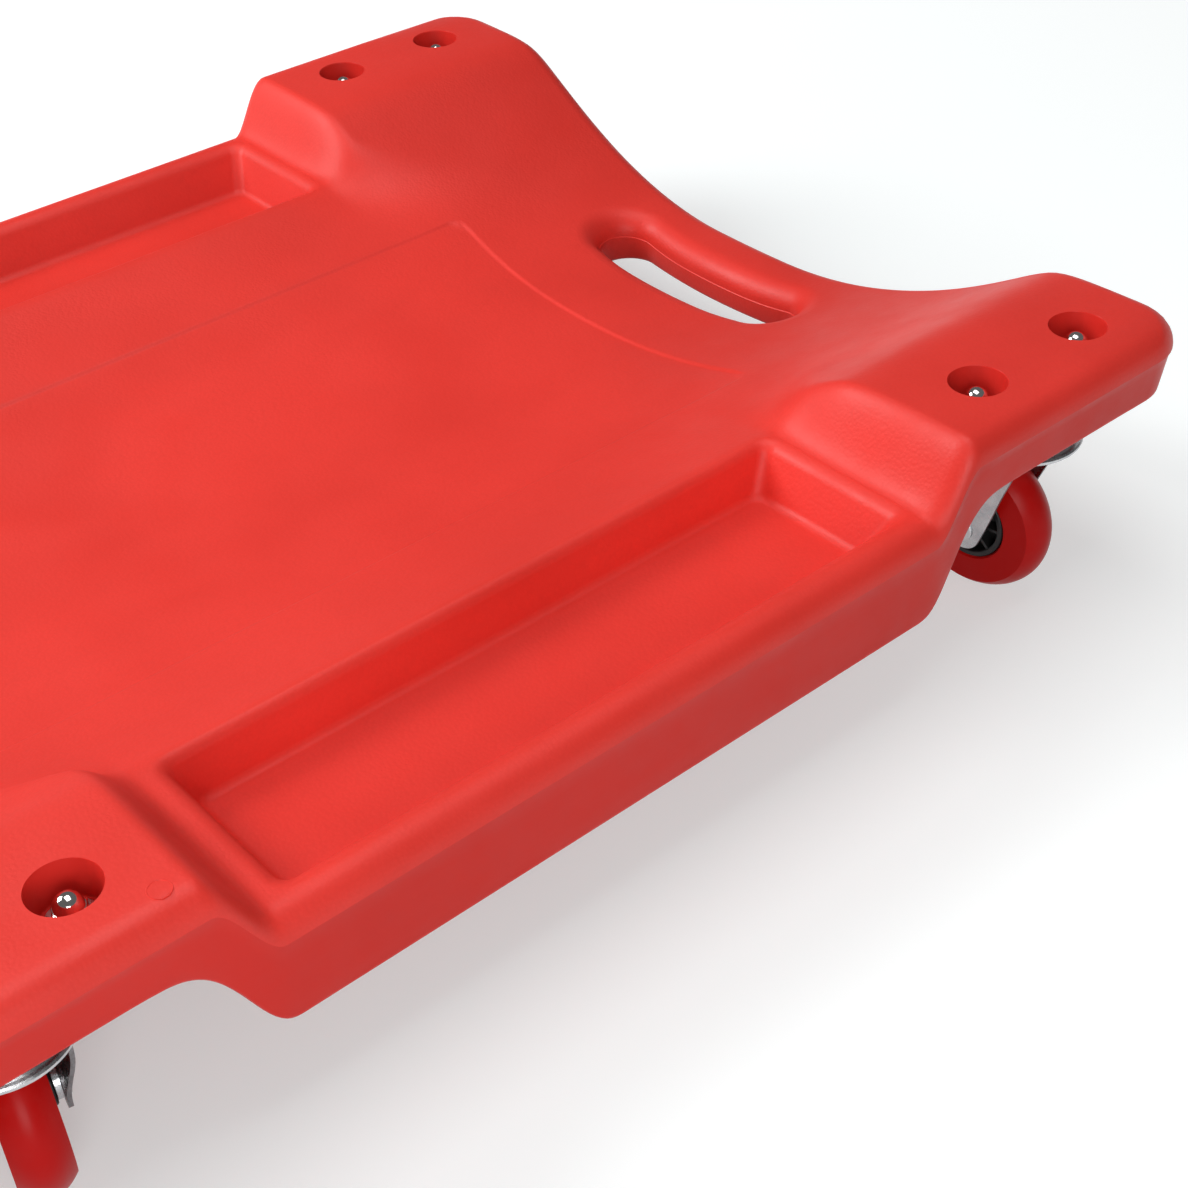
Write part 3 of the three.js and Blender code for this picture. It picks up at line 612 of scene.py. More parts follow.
def lip(radius, z, size, steps):
    """Points of a rounding from a wall out onto a face."""
    return [(radius + size * (1 - math.cos(t)), z - size * (1 - math.sin(t))) for t in quarter(steps)]


def tray_tool(side):
    """Flat floor with a small fillet, three kinds of sloped wall and a rounded lip."""
    rim = EAR_TOP - SHOULDER_DROP
    floor = rim - TRAY_DEPTH
    inner_run, outer_run, end_run = TRAY_RUNS
    rings = []
    levels = fillet(0, floor, TRAY_FLOOR_ROUND, 6) + lip(0, rim, TRAY_LIP, 6)
    for grow, z in levels + [(TRAY_LIP, rim + OVERRUN)]:
        up = min(max((z - floor) / TRAY_DEPTH, 0), 1)
        near = TRAY_INNER - inner_run * up - grow
        far = TRAY_OUTER + outer_run * up + grow
        reach = TRAY_REACH + end_run * up + grow
        corner = TRAY_CORNER + max(grow, 0)
        rings.append(rounded_ring(TRAY_MIDDLE, side * (near + far) / 2, reach, (far - near) / 2, corner, z))
    return loft(rings)


def slot_ring(out, height, steps=24):
    """Round the bowed slot, at a distance out from the hole."""
    half = SLOT_HALF_WIDE + out
    straight = SLOT_HALF_LONG - SLOT_HALF_WIDE

    def bow(y):
        return SLOT_CENTRE + SLOT_BOW * (y / SLOT_HALF_LONG) ** 2

    points = []
    for way in (1, -1):
        points += [(bow(y) + way * half, y) for y in np.linspace(-way * straight, way * straight, steps + 1)]
        points += [(bow(straight) + way * half * math.cos(t), way * (straight + half * math.sin(t)))
                   for t in np.linspace(0, math.pi, steps + 1)[1:-1]]
    return [(x, y, float(height(x, abs(y)))) for x, y in points]


def slot_tool():
    def surface(x, a):
        return EAR_TOP - top_drop(x, a)

    rings = [slot_ring(BOTTOM_ROUND, lambda x, a: BELLY - OVERRUN)]
    for out, rise in fillet(0, 0, BOTTOM_ROUND, 10)[::3]:
        rings.append(slot_ring(-out - SLOT_LEDGE, lambda x, a, rise=rise: BELLY + rise))
    rings.append(slot_ring(-SLOT_LEDGE, lambda x, a: surface(x, a) - SLOT_SOFT - SLOT_LEDGE))
    for out, rise in lip(0, 0, SLOT_SOFT, 10):
        rings.append(slot_ring(out, lambda x, a, rise=rise: surface(x, a) + rise))
    rings.append(slot_ring(SLOT_SOFT, lambda x, a: surface(x, a) + OVERRUN))
    return loft(rings)


def recess_tool(x, y):
    floor = EAR_TOP - RECESS_DEPTH
    profile = [(0, CASTER_TOP - OVERRUN), (BOLT_HOLE, CASTER_TOP - OVERRUN), (BOLT_HOLE, floor)]
    profile += fillet(RECESS_RADIUS - RECESS_DRAFT, floor, RECESS_LIP, 4)
    profile += lip(RECESS_RADIUS, EAR_TOP, RECESS_LIP, 6)
    profile += [(RECESS_RADIUS + RECESS_LIP, EAR_TOP + OVERRUN), (0, EAR_TOP + OVERRUN)]
    return moved(lathe(profile, 64), x, y)


def pocket_tool(x, y):
    return loft([rounded_ring(x, y, *POCKET_HALF, POCKET_CORNER, z) for z in (BELLY, CASTER_TOP)])


def channel_tool(k, middle):
    rings = []
    for rise, draft in ((-OVERRUN, 0), (0, 0), (CHANNEL_DEPTH, CHANNEL_DRAFT)):
        half = CHANNEL_HALF - draft
        rings.append(rounded_ring(middle, CHANNEL_PITCH * (k - 2), CHANNEL_REACH - draft, half,
                                  half - CHANNEL_FLAT, BELLY + rise))
    return loft(rings)


def middle_of(node):
    low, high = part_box(node)
    return (low.x + high.x) / 2, (low.y + high.y) / 2


def well_tool(k):
    """The well from below and the hole of one of the headrest's screws."""
    face = EAR_TOP - SEAT_DROP - WELL_ROOF
    top = face + WELL_HOLE_REACH
    profile = [(0, BELLY - OVERRUN), (WELL_RADIUS, BELLY - OVERRUN), (WELL_RADIUS, face), (SCREW_HOLE, face),
               (SCREW_HOLE, top), (0, top)]
    return moved(lathe(profile, 40), *middle_of(f"headrest_screw_{k}"))


def witness_ring(x, y, radius, wire):
    """A raised ring that the mould leaves."""
    z = float(top_height(x, abs(y)))
    foot, rim, height = wire * 1.6, wire, wire * 0.8
    profile = [(radius - foot, z - wire * 3), (radius + foot, z - wire * 3), (radius + foot, z),
               (radius + rim, z + height), (radius - rim, z + height), (radius - foot, z)]
    return moved(lathe(profile, 40), x, y)


def build_deck(materials):
    vertices, faces, indices = build_body()
    deck = mesh_object("deck_moulding", vertices, faces, materials, indices)
    carve(deck, joined([tray_tool(-1), tray_tool(1), slot_tool()]), index=0)
    under = [pocket_tool(row, side * CASTER_LINE) for row in (-ROW, 0, ROW) for side in (-1, 1)]
    under += [channel_tool(k, middle) for k in range(5) for middle in (TRAY_MIDDLE, WAIST_MIDDLE)]
    under += [well_tool(k) for k in (1, 2)]
    carve(deck, joined(under), index=1)
    recesses = [recess_tool(*middle_of(name)) for name in frame["nodes"] if name.startswith("cap_nut_")]
    carve(deck, joined(recesses), index=1)
    carve(deck, witness_ring(*WITNESS_PLACE, WITNESS_RADIUS, WITNESS_WIRE), "UNION")
    polish(deck)
    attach(deck, "deck")
    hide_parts("deck")


# Casters

def arc(cx, cy, radius, start, end, steps):
    """Points of an arc between two angles in degrees."""
    angles = np.radians(np.linspace(start, end, steps + 1))
    return [(cx + radius * math.cos(t), cy + radius * math.sin(t)) for t in angles]


def rectangle(x0, x1, half_y):
    return [(x0, -half_y), (x1, -half_y), (x1, half_y), (x0, half_y)]


def prism(outline, low, high, bevel=0.0):
    """A closed outline raised from low to high, with small bevels that shrink it towards its middle."""
    points = np.array(outline, float)
    levels = [(low, 0), (high, 0)]
    if bevel:
        levels = [(low, bevel), (low + bevel, 0), (high - bevel, 0), (high, bevel)]
    along = np.roll(points, -1, axis=0) - np.roll(points, 1, axis=0)
    inward = np.stack([-along[:, 1], along[:, 0]], axis=-1) / np.linalg.norm(along, axis=1)[:, None]
    return loft([np.column_stack([points + inward * inset, np.full(len(points), z)]) for z, inset in levels])


def turned(part, axis, degrees):
    vertices, faces = part
    turn = np.array(Matrix.Rotation(math.radians(degrees), 3, axis))
    return np.asarray(vertices, float) @ turn.T, faces


def about_axle(part):
    """A part turned about Z, laid on the axle of its wheel."""
    return moved(turned(part, "Y", 90), 0, TRAIL, WHEEL_RADIUS)


def both_sides(half):
    """A turned profile from its half on one side of the wheel's middle plane."""
    return [(radius, -x) for radius, x in half[::-1]] + half


def rivet_dome(radius, face, height, start):
    """Points of a low round head, from near its crown to its rim. A negative height hangs down."""
    return [(radius * math.sin(t), face + height * (0.35 + 0.65 * math.cos(t)))
            for t in np.linspace(start, math.pi / 2, 7)]


def hexagon_nut(width, low, high, chamfer_low=False, steps=8):
    """A hexagon whose top corners, and where asked its bottom ones, are turned off by a cone."""
    corner = width / math.sqrt(3)
    chamfer, inner = (corner - width / 2) * 0.6, width / 2 * 0.96
    levels = [(low, inner), (low + chamfer, corner)] if chamfer_low else [(low, corner)]
    rings = []
    for z, limit in levels + [(high - chamfer, corner), (high, inner)]:
        ring = []
        for turn in turns(6 * steps):
            face = (turn + math.pi / 6) % (math.pi / 3) - math.pi / 6
            reach = min(width / 2 / math.cos(face), limit)
            ring.append((reach * math.cos(turn), reach * math.sin(turn), z))
        rings.append(ring)
    return loft(rings)


def station(label):
    """Place of a caster on the floor plan, and its heading."""
    x, y, _ = SWIVELS[label]["pos_m"]
    axis = ROLLS[label]["axis"]
    return Vector((x, y, 0)), math.atan2(axis[1], axis[0])


def place_copy(name, template, move, body, node):
    """A moved copy of a piece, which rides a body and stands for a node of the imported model, if any."""
    copy = collection_link(bpy.data.objects.new(name, template.data.copy()))
    copy.data.transform(move)
    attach(copy, body)
    if node:
        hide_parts(node)


def per_caster(name, template, body, node, turned_with_fork=True):
    """A copy of one piece at each caster."""
    for label in SWIVELS:
        place, heading = station(label)
        move = Matrix.Translation(place) @ Matrix.Rotation(heading if turned_with_fork else 0, 4, "Z")
        place_copy(f"{name}_{label}", template, move, body.format(label), node and node.format(label))
    bpy.data.objects.remove(template)


def per_bolt(name, template, node, twisted=False):
    """A copy of a fastener at each bolt place of each caster. Nuts stop at different angles."""
    by_row, by_end, for_all = NUT_TWIST
    for label in SWIVELS:
        place, _ = station(label)
        for k, end in ((1, -1), (2, 1)):
            twist = math.radians(by_row * place.x / ROW + by_end * end + for_all) if twisted else 0
            move = Matrix.Translation(place + Vector((end * BOLT_HALF_PITCH, 0, 0)))
            move = move @ Matrix.Rotation(twist, 4, "Z")
            place_copy(f"{name}_{label}_{k}", template, move, "deck", f"{node}_{label}_{k}")
    bpy.data.objects.remove(template)


def plate_outline(steps=16):
    lean = math.degrees(math.acos((PLATE_CENTRE - PLATE_LOBE) / BOLT_HALF_PITCH))
    outline = []
    for way, start in ((1, 0), (-1, 180)):
        outline += arc(way * BOLT_HALF_PITCH, 0, PLATE_LOBE, start - lean, start + lean, steps)
        outline += arc(0, 0, PLATE_CENTRE, start + lean, start + 180 - lean, steps)
    return outline


def build_plates(material):
    """Two-bolt plate with its pressed race cup and riveted kingpin."""
    cup_bottom = PLATE_BOTTOM - CUP_DEPTH
    rivet_top = YOKE_ROOF - SHEET - RUNNING_GAP
    inside = PLATE_BOTTOM + PLATE_THICKNESS / 2
    profile = [(0, rivet_top - RIVET_HEIGHT)] + rivet_dome(RIVET_RADIUS, rivet_top, -RIVET_HEIGHT, 0.25)
    profile += [(RIVET_RADIUS, rivet_top), (KINGPIN, rivet_top), (KINGPIN, cup_bottom)]
    profile += fillet(CUP_RADIUS - CUP_TAPER, cup_bottom, CUP_FILLET, 5)
    profile += lip(CUP_RADIUS - CUP_TAPER * 0.2, PLATE_BOTTOM, CUP_FILLET, 5)
    profile += [(CUP_RADIUS + CUP_FILLET, inside), (0, inside)]
    sheet = prism(plate_outline(), PLATE_BOTTOM, PLATE_TOP, PLATE_EDGE)
    plate = mesh_object("caster_plate", *sheet, [material])
    carve(plate, lathe(profile, 64), "UNION")
    hole = rod(BOLT_HOLE, PLATE_BOTTOM - OVERRUN, PLATE_TOP + OVERRUN, 32)
    carve(plate, joined([moved(hole, end * BOLT_HALF_PITCH) for end in (-1, 1)]))
    polish(plate)
    per_caster("caster_plate", plate, "deck", "plate_{}", turned_with_fork=False)


def build_races(material, count=34):
    """Loose balls between the cup and the race ring of the fork."""
    ring = CROWN_RADIUS - RACE_SETBACK - SHEET
    cup = CUP_RADIUS - CUP_TAPER * 0.8
    radius = (ring - cup) / 2 - RACE_AIR
    middle = (ring + cup) / 2
    profile = [(radius * math.sin(t), -radius * math.cos(t)) for t in np.linspace(0, math.pi, 7)[1:-1]]
    ball = lathe([(0, -radius), *profile, (0, radius)], 10)
    height = CROWN_TOP + radius + 2 * RACE_AIR
    balls = [moved(ball, middle * math.cos(t), middle * math.sin(t), height) for t in turns(count)]
    race = mesh_object("race_balls", *joined(balls), [material])
    per_caster("race_balls", race, "swivel_{}", None)


def yoke_outline():
    """The bent sheet seen along its legs, with rounded knees."""
    foot = WHEEL_RADIUS - LEG_FOOT - OVERRUN
    knee = WHEEL_RADIUS + KNEE_RISE
    hip = knee + KNEE_RUN

    def side(inset):
        points = [(FORK_HALF - inset, foot)]
        for t in np.linspace(0, 1, 13):
            z = mix(knee - KNEE_OVERLAP, hip + KNEE_OVERLAP, t)
            points.append((FORK_HALF - inset + LEG_STEP * float(ease(t)), z))
        bend = LEG_BEND + SHEET
        return points + arc(HIP_HALF - bend, YOKE_ROOF - bend, bend - inset, 0, 90, 8)

    outer, inner = side(0), side(LEG_SHEET)
    mirrored = [(-x, z) for x, z in outer[::-1]]
    back = [(-x, z) for x, z in inner]
    return outer + mirrored + back + inner[::-1]


def leg_outline():
    top = CROWN_TOP + OVERRUN
    hip = CROWN_UNDER - LEG_BEND
    foot = (TRAIL + LEG_FOOT_SHIFT[0], WHEEL_RADIUS + LEG_FOOT_SHIFT[1])
    heel = arc(*foot, LEG_FOOT, LEG_HEEL, 360, 24)
    return [(-LEG_FRONT, top), (-LEG_FRONT, hip), *heel, (LEG_BACK, hip), (LEG_BACK, top)]


def build_forks(materials):
    """Plated crown and legs, duller where the sheet was sheared, and painted a darker grey there as painted
    shade.
    """
    reach = CROWN_RADIUS + TRAIL
    fork = mesh_object("fork_steel", *turned(prism(yoke_outline(), -reach, reach), "X", 90), materials)
    legs = turned(turned(prism(leg_outline(), -HIP_HALF - OVERRUN, HIP_HALF + OVERRUN), "X", 90), "Z", 90)
    # The cut edges take the second material, whose dark grey is painted shade.
    carve(fork, legs, "INTERSECT", index=1)
    race = CROWN_RADIUS - RACE_SETBACK
    race_top = CROWN_TOP + RACE_RISE
    bore = KINGPIN + RUNNING_GAP
    edge = CROWN_EDGE
    profile = [(bore, CROWN_UNDER), (CROWN_RADIUS - edge, CROWN_UNDER), (CROWN_RADIUS, CROWN_UNDER + edge),
               (CROWN_RADIUS, CROWN_TOP - edge), (CROWN_RADIUS - edge, CROWN_TOP), (race + edge, CROWN_TOP),
               (race, CROWN_TOP + edge), (race, race_top - edge), (race - edge, race_top),
               (race - SHEET + edge, race_top), (race - SHEET, race_top - edge),
               (race - SHEET, CROWN_TOP), (bore, CROWN_TOP)]
    carve(fork, lathe(profile, 72), "UNION")
    pin = rod(bore, WHEEL_RADIUS, CROWN_TOP + OVERRUN, 40)
    carve(fork, joined([pin, about_axle(rod(AXLE_BORE, -reach, reach, 40))]))
    polish(fork, 35)
    soft = fork.modifiers.new("soft edges", "BEVEL")
    soft.width = LEG_EDGE
    soft.segments = 2
    soft.limit_method = "ANGLE"
    soft.angle_limit = math.radians(30)
    soft.harden_normals = True
    fix(fork)
    per_caster("fork_steel", fork, "swivel_{}", "fork_{}")


def build_tyres(material):
    """Flat sides, a crisp line where they meet the shoulders, and a crowned tread with its mould line."""
    shoulder = TYRE_SIDE + TYRE_EDGE
    reach = WHEEL_HALF - TYRE_EDGE
    crown = WHEEL_RADIUS - FLOOR_AIR
    half = [(HUB_RADIUS + RUNNING_GAP, WHEEL_HALF - BEAD_SLOPE[1]), (HUB_RADIUS + BEAD_SLOPE[0], WHEEL_HALF),
            (TYRE_SIDE, WHEEL_HALF), (shoulder, reach)]
    half += [(mix(crown, shoulder, t ** 2), reach * t) for t in np.linspace(1, 0, 14)[1:-1]]
    half.append((crown, MOULD_LINE))
    profile = both_sides(half[::-1])
    tyre = mesh_object("tyre_tread", *about_axle(lathe(profile, 96)), [material], sharp_angle=24)
    per_caster("tyre_tread", tyre, "wheel_{}", "tyre_{}")


def build_hubs(material, ribs=8):
    """Nylon hub: a rim ring, a dished web with ribs and a boss on the axle."""
    boss = FORK_GAP - SPACER
    face = WHEEL_HALF - HUB_INSET
    bend = HUB_WEB + HUB_FILLET
    half = [(AXLE_BORE, boss), (HUB_BOSS - HUB_EDGE, boss), (HUB_BOSS, boss - HUB_EDGE),
            (HUB_BOSS + HUB_DRAFT, bend), (HUB_BOSS + 4 * HUB_DRAFT, HUB_WEB),
            (HUB_RIM - 2 * HUB_EDGE, HUB_WEB), (HUB_RIM - HUB_INSET, bend),
            (HUB_RIM, face - HUB_ROUND), (HUB_RIM + HUB_ROUND, face),
            (HUB_RADIUS - HUB_DRAFT, face), (HUB_RADIUS, face - HUB_ROUND)]
    hub = mesh_object("hub_nylon", *lathe(both_sides(half[::-1]), 72), [material])
    outline = rectangle(HUB_BOSS - RIB_SETBACK, HUB_RIM + RIB_SETBACK, RIB_HALF)
    rib = prism(outline, RIB_SETBACK - WHEEL_HALF, WHEEL_HALF - RIB_SETBACK)
    for k in range(ribs):
        carve(hub, turned(rib, "Z", 360 * k / ribs), "UNION")
    hub.data.transform(Matrix.Translation((0, TRAIL, WHEEL_RADIUS)) @ Matrix.Rotation(math.pi / 2, 4, "Y"))
    polish(hub)
    per_caster("hub_nylon", hub, "wheel_{}", "hub_{}")


def build_axles(material):
    """Riveted axle with low round heads and a spacer beside each leg."""
    radius, height = AXLE_HEAD
    face = FORK_HALF + AXLE_AIR
    inner = FORK_HALF - LEG_SHEET - AXLE_AIR
    spacer = FORK_GAP - SPACER + 2 * AXLE_AIR
    half = [(AXLE_RADIUS, spacer), (SPACER_RADIUS, spacer), (SPACER_RADIUS, inner), (AXLE_RADIUS, inner),
            (AXLE_RADIUS, face), (radius, face)]
    half += rivet_dome(radius, face, height, 0.2)[::-1] + [(0, face + height)]
    axle = mesh_object("axle_rivet", *about_axle(lathe(both_sides(half), 40)), [material])
    per_caster("axle_rivet", axle, "swivel_{}", "axle_{}")


def build_bolts(material):
    width, height = BOLT_HEAD
    face = PLATE_BOTTOM - RUNNING_GAP
    tip = NUT_HIGH.z - DOME_WALL - RUNNING_GAP
    head = turned(hexagon_nut(width, face - height, face, chamfer_low=True), "Z", 90)
    bolt = mesh_object("plate_bolt", *head, [material])
    shank = [(0, face - height / 2), (BOLT_RADIUS, face - height / 2), (BOLT_RADIUS, tip - BOLT_CHAMFER),
             (BOLT_RADIUS - BOLT_CHAMFER, tip), (0, tip)]
    carve(bolt, lathe(shank, 24), "UNION")
    polish(bolt)
    per_bolt("plate_bolt", bolt, "bolt")


def build_cap_nuts(materials):
    """Domed nickel nut on a zinc washer."""
    base = NUT_LOW.z
    top = base + WASHER_THICKNESS
    shoulder = top + NUT_HEX
    edge = WASHER_EDGE
    washer = [(0, base), (WASHER_RADIUS - edge, base), (WASHER_RADIUS, base + edge),
              (WASHER_RADIUS, top - edge), (WASHER_RADIUS - edge, top), (0, top)]
    nut = mesh_object("domed_nut", *lathe(washer, 48), materials)
    carve(nut, hexagon_nut(NUT_WIDTH, top - edge, shoulder), "UNION", index=1)
    dome = [(0, top), (DOME_NECK, top), (DOME_NECK, shoulder)]
    dome += [(DOME_RADIUS * math.cos(t), mix(shoulder, NUT_HIGH.z, math.sin(t))) for t in quarter(12)[:-1]]
    carve(nut, lathe(dome + [(0, NUT_HIGH.z)], 48), "UNION", index=1)
    carve(nut, rod(BOLT_HOLE, base - OVERRUN, NUT_HIGH.z - DOME_WALL, 24))
    polish(nut)
    per_bolt("domed_nut", nut, "cap_nut", twisted=True)


# Headrest

def rounded_outline(half_x, half_y, radius, steps):
    return [(x, y) for x, y, _ in rounded_ring(0, 0, half_x, half_y, radius, 0, steps)]


def pad_ring(grow, z, steps=7):
    """Outline of the pad at a level: rounded corners, sides drawn in between them."""
    half_x = (PAD_HIGH.x - PAD_LOW.x) / 2 + grow
    half_y = (PAD_HIGH.y - PAD_LOW.y) / 2 + grow
    radius = min(PAD_CORNER + max(grow, -PAD_CORNER / 2), half_x * 0.6)
    corners = rounded_outline(half_x, half_y, radius, steps)
    ring = []
    for c in range(4):
        corner = corners[c * (steps + 1):(c + 1) * (steps + 1)]
        following = corners[((c + 1) * (steps + 1)) % len(corners)]
        ring += corner
        count = PAD_SIDE_POINTS[c % 2]
        for k in range(1, count):
            x, y = (mix(a, b, k / count) for a, b in zip(corner[-1], following))
            pull = 1 - PAD_DRAW_IN * math.sin(math.pi * k / count) / math.hypot(x, y)
            ring.append((x * pull, y * pull))
    return [(x + PAD_MIDDLE.x, y, z) for x, y in ring]


def build_pad(material):
    """Foam under a sewn cover: the skin fills out and wrinkles a little, and the piping comes after it."""
    height = PAD_HIGH.z - PAD_LOW.z - PAD_SPARE
    rings = [pad_ring(grow * PAD_MARGIN - PAD_INSET, PAD_LOW.z + PAD_FOOT + share * height)
             for grow, share in PAD_SHARES]
    pad = mesh_object("headrest_cover", *loft(rings), [material], sharp_angle=60)
    remesh = pad.modifiers.new("even skin", "REMESH")
    remesh.mode = "VOXEL"
    remesh.voxel_size = SKIN_VOXEL
    fix(pad)
    fill_out(pad)
    divide = pad.modifiers.new("smooth skin", "SUBSURF")
    divide.levels = divide.render_levels = 1
    fix(pad)
    polish(pad, 70)
    build_piping(pad, material)
    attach(pad, "deck")
    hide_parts("headrest_pad")


def places_of(mesh):
    return np.array([vertex.co for vertex in mesh.vertices])


def fill_out(obj, frames=14, smoothing=14):
    """Presses the skin outwards as cloth, caps how far each point moves, and evens the movement out."""
    start = places_of(obj.data)
    cloth = obj.modifiers.new("cover", "CLOTH")
    cloth.settings.effector_weights.gravity = 0
    for name, value in COVER_CLOTH:
        setattr(cloth.settings, name, value)
    scene = bpy.context.scene
    for frame_number in range(1, frames + 1):
        scene.frame_set(frame_number)
    fix(obj)
    scene.frame_set(1)
    step = places_of(obj.data) - start
    inward = np.einsum("ij,ij->i", step, start - np.array(PAD_MIDDLE)) < 0
    length = np.maximum(np.linalg.norm(step, axis=1), 1e-9)
    step *= np.minimum(1, np.where(inward, SWELL_IN, SWELL_OUT) / length)[:, None]
    edges = np.array([edge.vertices for edge in obj.data.edges])
    for _ in range(smoothing):
        total = np.zeros_like(step)
        count = np.zeros(len(step))
        for here, there in ((0, 1), (1, 0)):
            np.add.at(total, edges[:, here], step[edges[:, there]])
            np.add.at(count, edges[:, here], 1)
        step = (step + total / count[:, None]) / 2
    placed = np.clip(start + step, np.array(PAD_LOW) + PAD_AIR, np.array(PAD_HIGH) - PAD_AIR)
    obj.data.vertices.foreach_set("co", placed.ravel())
    obj.data.update()


def build_piping(pad, material, count=160, sides=10):
    """Cord sewn into the seam between the side and the top, which follows the filled cover."""
    faces = [face.vertices for face in pad.data.polygons]
    surface = BVHTree.FromPolygons(places_of(pad.data).tolist(), faces)
    middle = Vector((PAD_MIDDLE.x, 0, mix(PAD_LOW.z, PAD_HIGH.z, SEAM_SHARE)))
    far_x, far_y = 2 * (PAD_MARGIN + PAD_HIGH.x - PAD_MIDDLE.x), 2 * (PAD_MARGIN + PAD_HIGH.y)
    line = []
    for turn in turns(count):
        outside = middle + Vector((far_x * math.cos(turn), far_y * math.sin(turn), 0))
        line.append(surface.ray_cast(outside, middle - outside)[0])
    path = np.array(line)
    for _ in range(2):
        path = (np.roll(path, 1, 0) + 2 * path + np.roll(path, -1, 0)) / 4
    along = np.roll(path, -1, 0) - np.roll(path, 1, 0)
    up = np.array((0, 0, 1))
    side = np.cross(along / np.linalg.norm(along, axis=1)[:, None], up)[:, None]
    around = turns(sides)[:, None]
    rings = path[:, None] + PIPING_RADIUS * (side * np.cos(around) + up * np.sin(around))
    skin = loft(np.clip(rings, np.array(PAD_LOW), np.array(PAD_HIGH)), closed_path=True)
    piping = mesh_object("headrest_piping", *skin, [material], sharp_angle=80)
    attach(piping, "deck")


def build_board(material):
    low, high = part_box("headrest_board")
    outline = rounded_outline((high.x - low.x) / 2, (high.y - low.y) / 2, PAD_CORNER - PAD_MARGIN, 12)
    plies = moved(prism(outline, low.z, high.z, BOARD_EDGE), PAD_MIDDLE.x)
    board = mesh_object("headrest_ply", *plies, [material])
    holes = []
    for k in (1, 2):
        node = f"headrest_screw_{k}"
        hole = rod(SCREW_HOLE, low.z - OVERRUN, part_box(node)[1].z + RUNNING_GAP, 24)
        holes.append(moved(hole, *middle_of(node)))
    carve(board, joined(holes))
    polish(board)
    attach(board, "deck")
    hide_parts("headrest_board")


def build_screws(material):
    """Pan-head screws from below, with a cross recess."""
    for k in (1, 2):
        low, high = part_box(f"headrest_screw_{k}")
        x, y = middle_of(f"headrest_screw_{k}")
        head = (high.x - low.x) / 2
        under_head = low.z + SCREW_HEAD_HEIGHT
        profile = [(0, low.z)]
        profile += [(head * math.sin(t), low.z + SCREW_HEAD_HEIGHT * 0.8 * (1 - math.cos(t)))
                    for t in np.linspace(0.2, math.pi / 2, 7)]
        profile += [(head, under_head), (SCREW_SHANK, under_head), (SCREW_SHANK, high.z - SCREW_TIP)]
        profile.append((0, high.z))
        screw = mesh_object(f"headrest_screw_fine_{k}", *moved(lathe(profile, 36), x, y), [material])
        outline = rectangle(-head * 0.5, head * 0.5, CROSS_HALF)
        blade = prism(outline, low.z - CROSS_OVERRUN, low.z + CROSS_DEPTH)
        for turn in (0, 90):
            carve(screw, moved(turned(blade, "Z", turn + CROSS_TURN), x, y))
        polish(screw)
        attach(screw, "deck")
        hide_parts(f"headrest_screw_{k}")


# Camera, floor and light

def build_camera():
    yaw, pitch, roll = CAMERA_YAW, CAMERA_PITCH, CAMERA_ROLL
    ahead = Vector((math.sin(yaw) * math.cos(pitch), math.cos(yaw) * math.cos(pitch), -math.sin(pitch)))
    level = Vector((math.cos(yaw), -math.sin(yaw), 0))
    down = ahead.cross(level)
    right = level * math.cos(roll) + down * math.sin(roll)
    lower = down * math.cos(roll) - level * math.sin(roll)
    data = bpy.data.cameras.new("camera")
    data.sensor_width = CAMERA_SENSOR
    data.lens = CAMERA_LENS
    camera = collection_link(bpy.data.objects.new("camera", data))
    turn = Matrix((right, -lower, -ahead)).transposed().to_4x4()
    camera.matrix_world = Matrix.Translation(CAMERA_PLACE) @ turn
    bpy.context.scene.camera = camera


def area_light(name, place, size, power):
    data = bpy.data.lights.new(name, "AREA")
    data.shape = "RECTANGLE"
    data.size, data.size_y = size
    data.energy = power
    light = collection_link(bpy.data.objects.new(name, data))
    light.location = place
    light.rotation_euler = (Vector(LIGHT_AIM) - Vector(place)).to_track_quat("-Z", "Y").to_euler()


def shader_node(tree, kind, output=0, inputs=(), **settings):
    """One output of a new node, whose inputs are given as values or as outputs of other nodes."""
    node = tree.nodes.new("ShaderNode" + kind)
    for name, value in settings.items():
        setattr(node, name, value)
    for name, value in dict(inputs).items():
        socket = node.inputs[name]
        if isinstance(value, bpy.types.NodeSocket):
            tree.links.new(value, socket)
        else:
            socket.default_value = (*value, 1) if socket.type == "RGBA" else value
    return node.outputs[output]


def seen_rays(tree):
    """1 for rays from the camera and for mirror and glass rays."""
    path = tree.nodes.new("ShaderNodeLightPath").outputs
    mirrored = {0: path["Is Camera Ray"], 1: path["Is Glossy Ray"]}
    first = shader_node(tree, "Math", inputs=mirrored, operation="MAXIMUM")
    return shader_node(tree, "Math", inputs={0: first, 1: path["Is Transmission Ray"]}, operation="MAXIMUM")


def floor_glow_and_painted_shadow(tree):
    """Painted shadow: the glow is weak under the creeper and full far from it, by the place on the floor."""
    scale = (PAINTED_SHADOW_NARROWING / PAINTED_SHADOW_REACH, 1 / PAINTED_SHADOW_REACH, 0)
    here = shader_node(tree, "TexCoord", "Object")
    place = shader_node(tree, "Mapping", inputs={"Vector": here, "Scale": scale})
    distance = shader_node(tree, "VectorMath", "Value", {0: place}, operation="LENGTH")
    ramp = tree.nodes.new("ShaderNodeValToRGB")
    stops = ramp.color_ramp.elements
    while len(stops) < len(FLOOR_GLOW_AND_PAINTED_SHADOW):
        stops.new(0.5)
    # The low strengths near the middle paint the creeper's shadow onto the floor.
    for stop, (at, glow) in zip(stops, FLOOR_GLOW_AND_PAINTED_SHADOW):
        stop.position = at
        stop.color = (glow, glow, glow, 1)
    tree.links.new(distance, ramp.inputs["Fac"])
    return ramp.outputs["Color"]


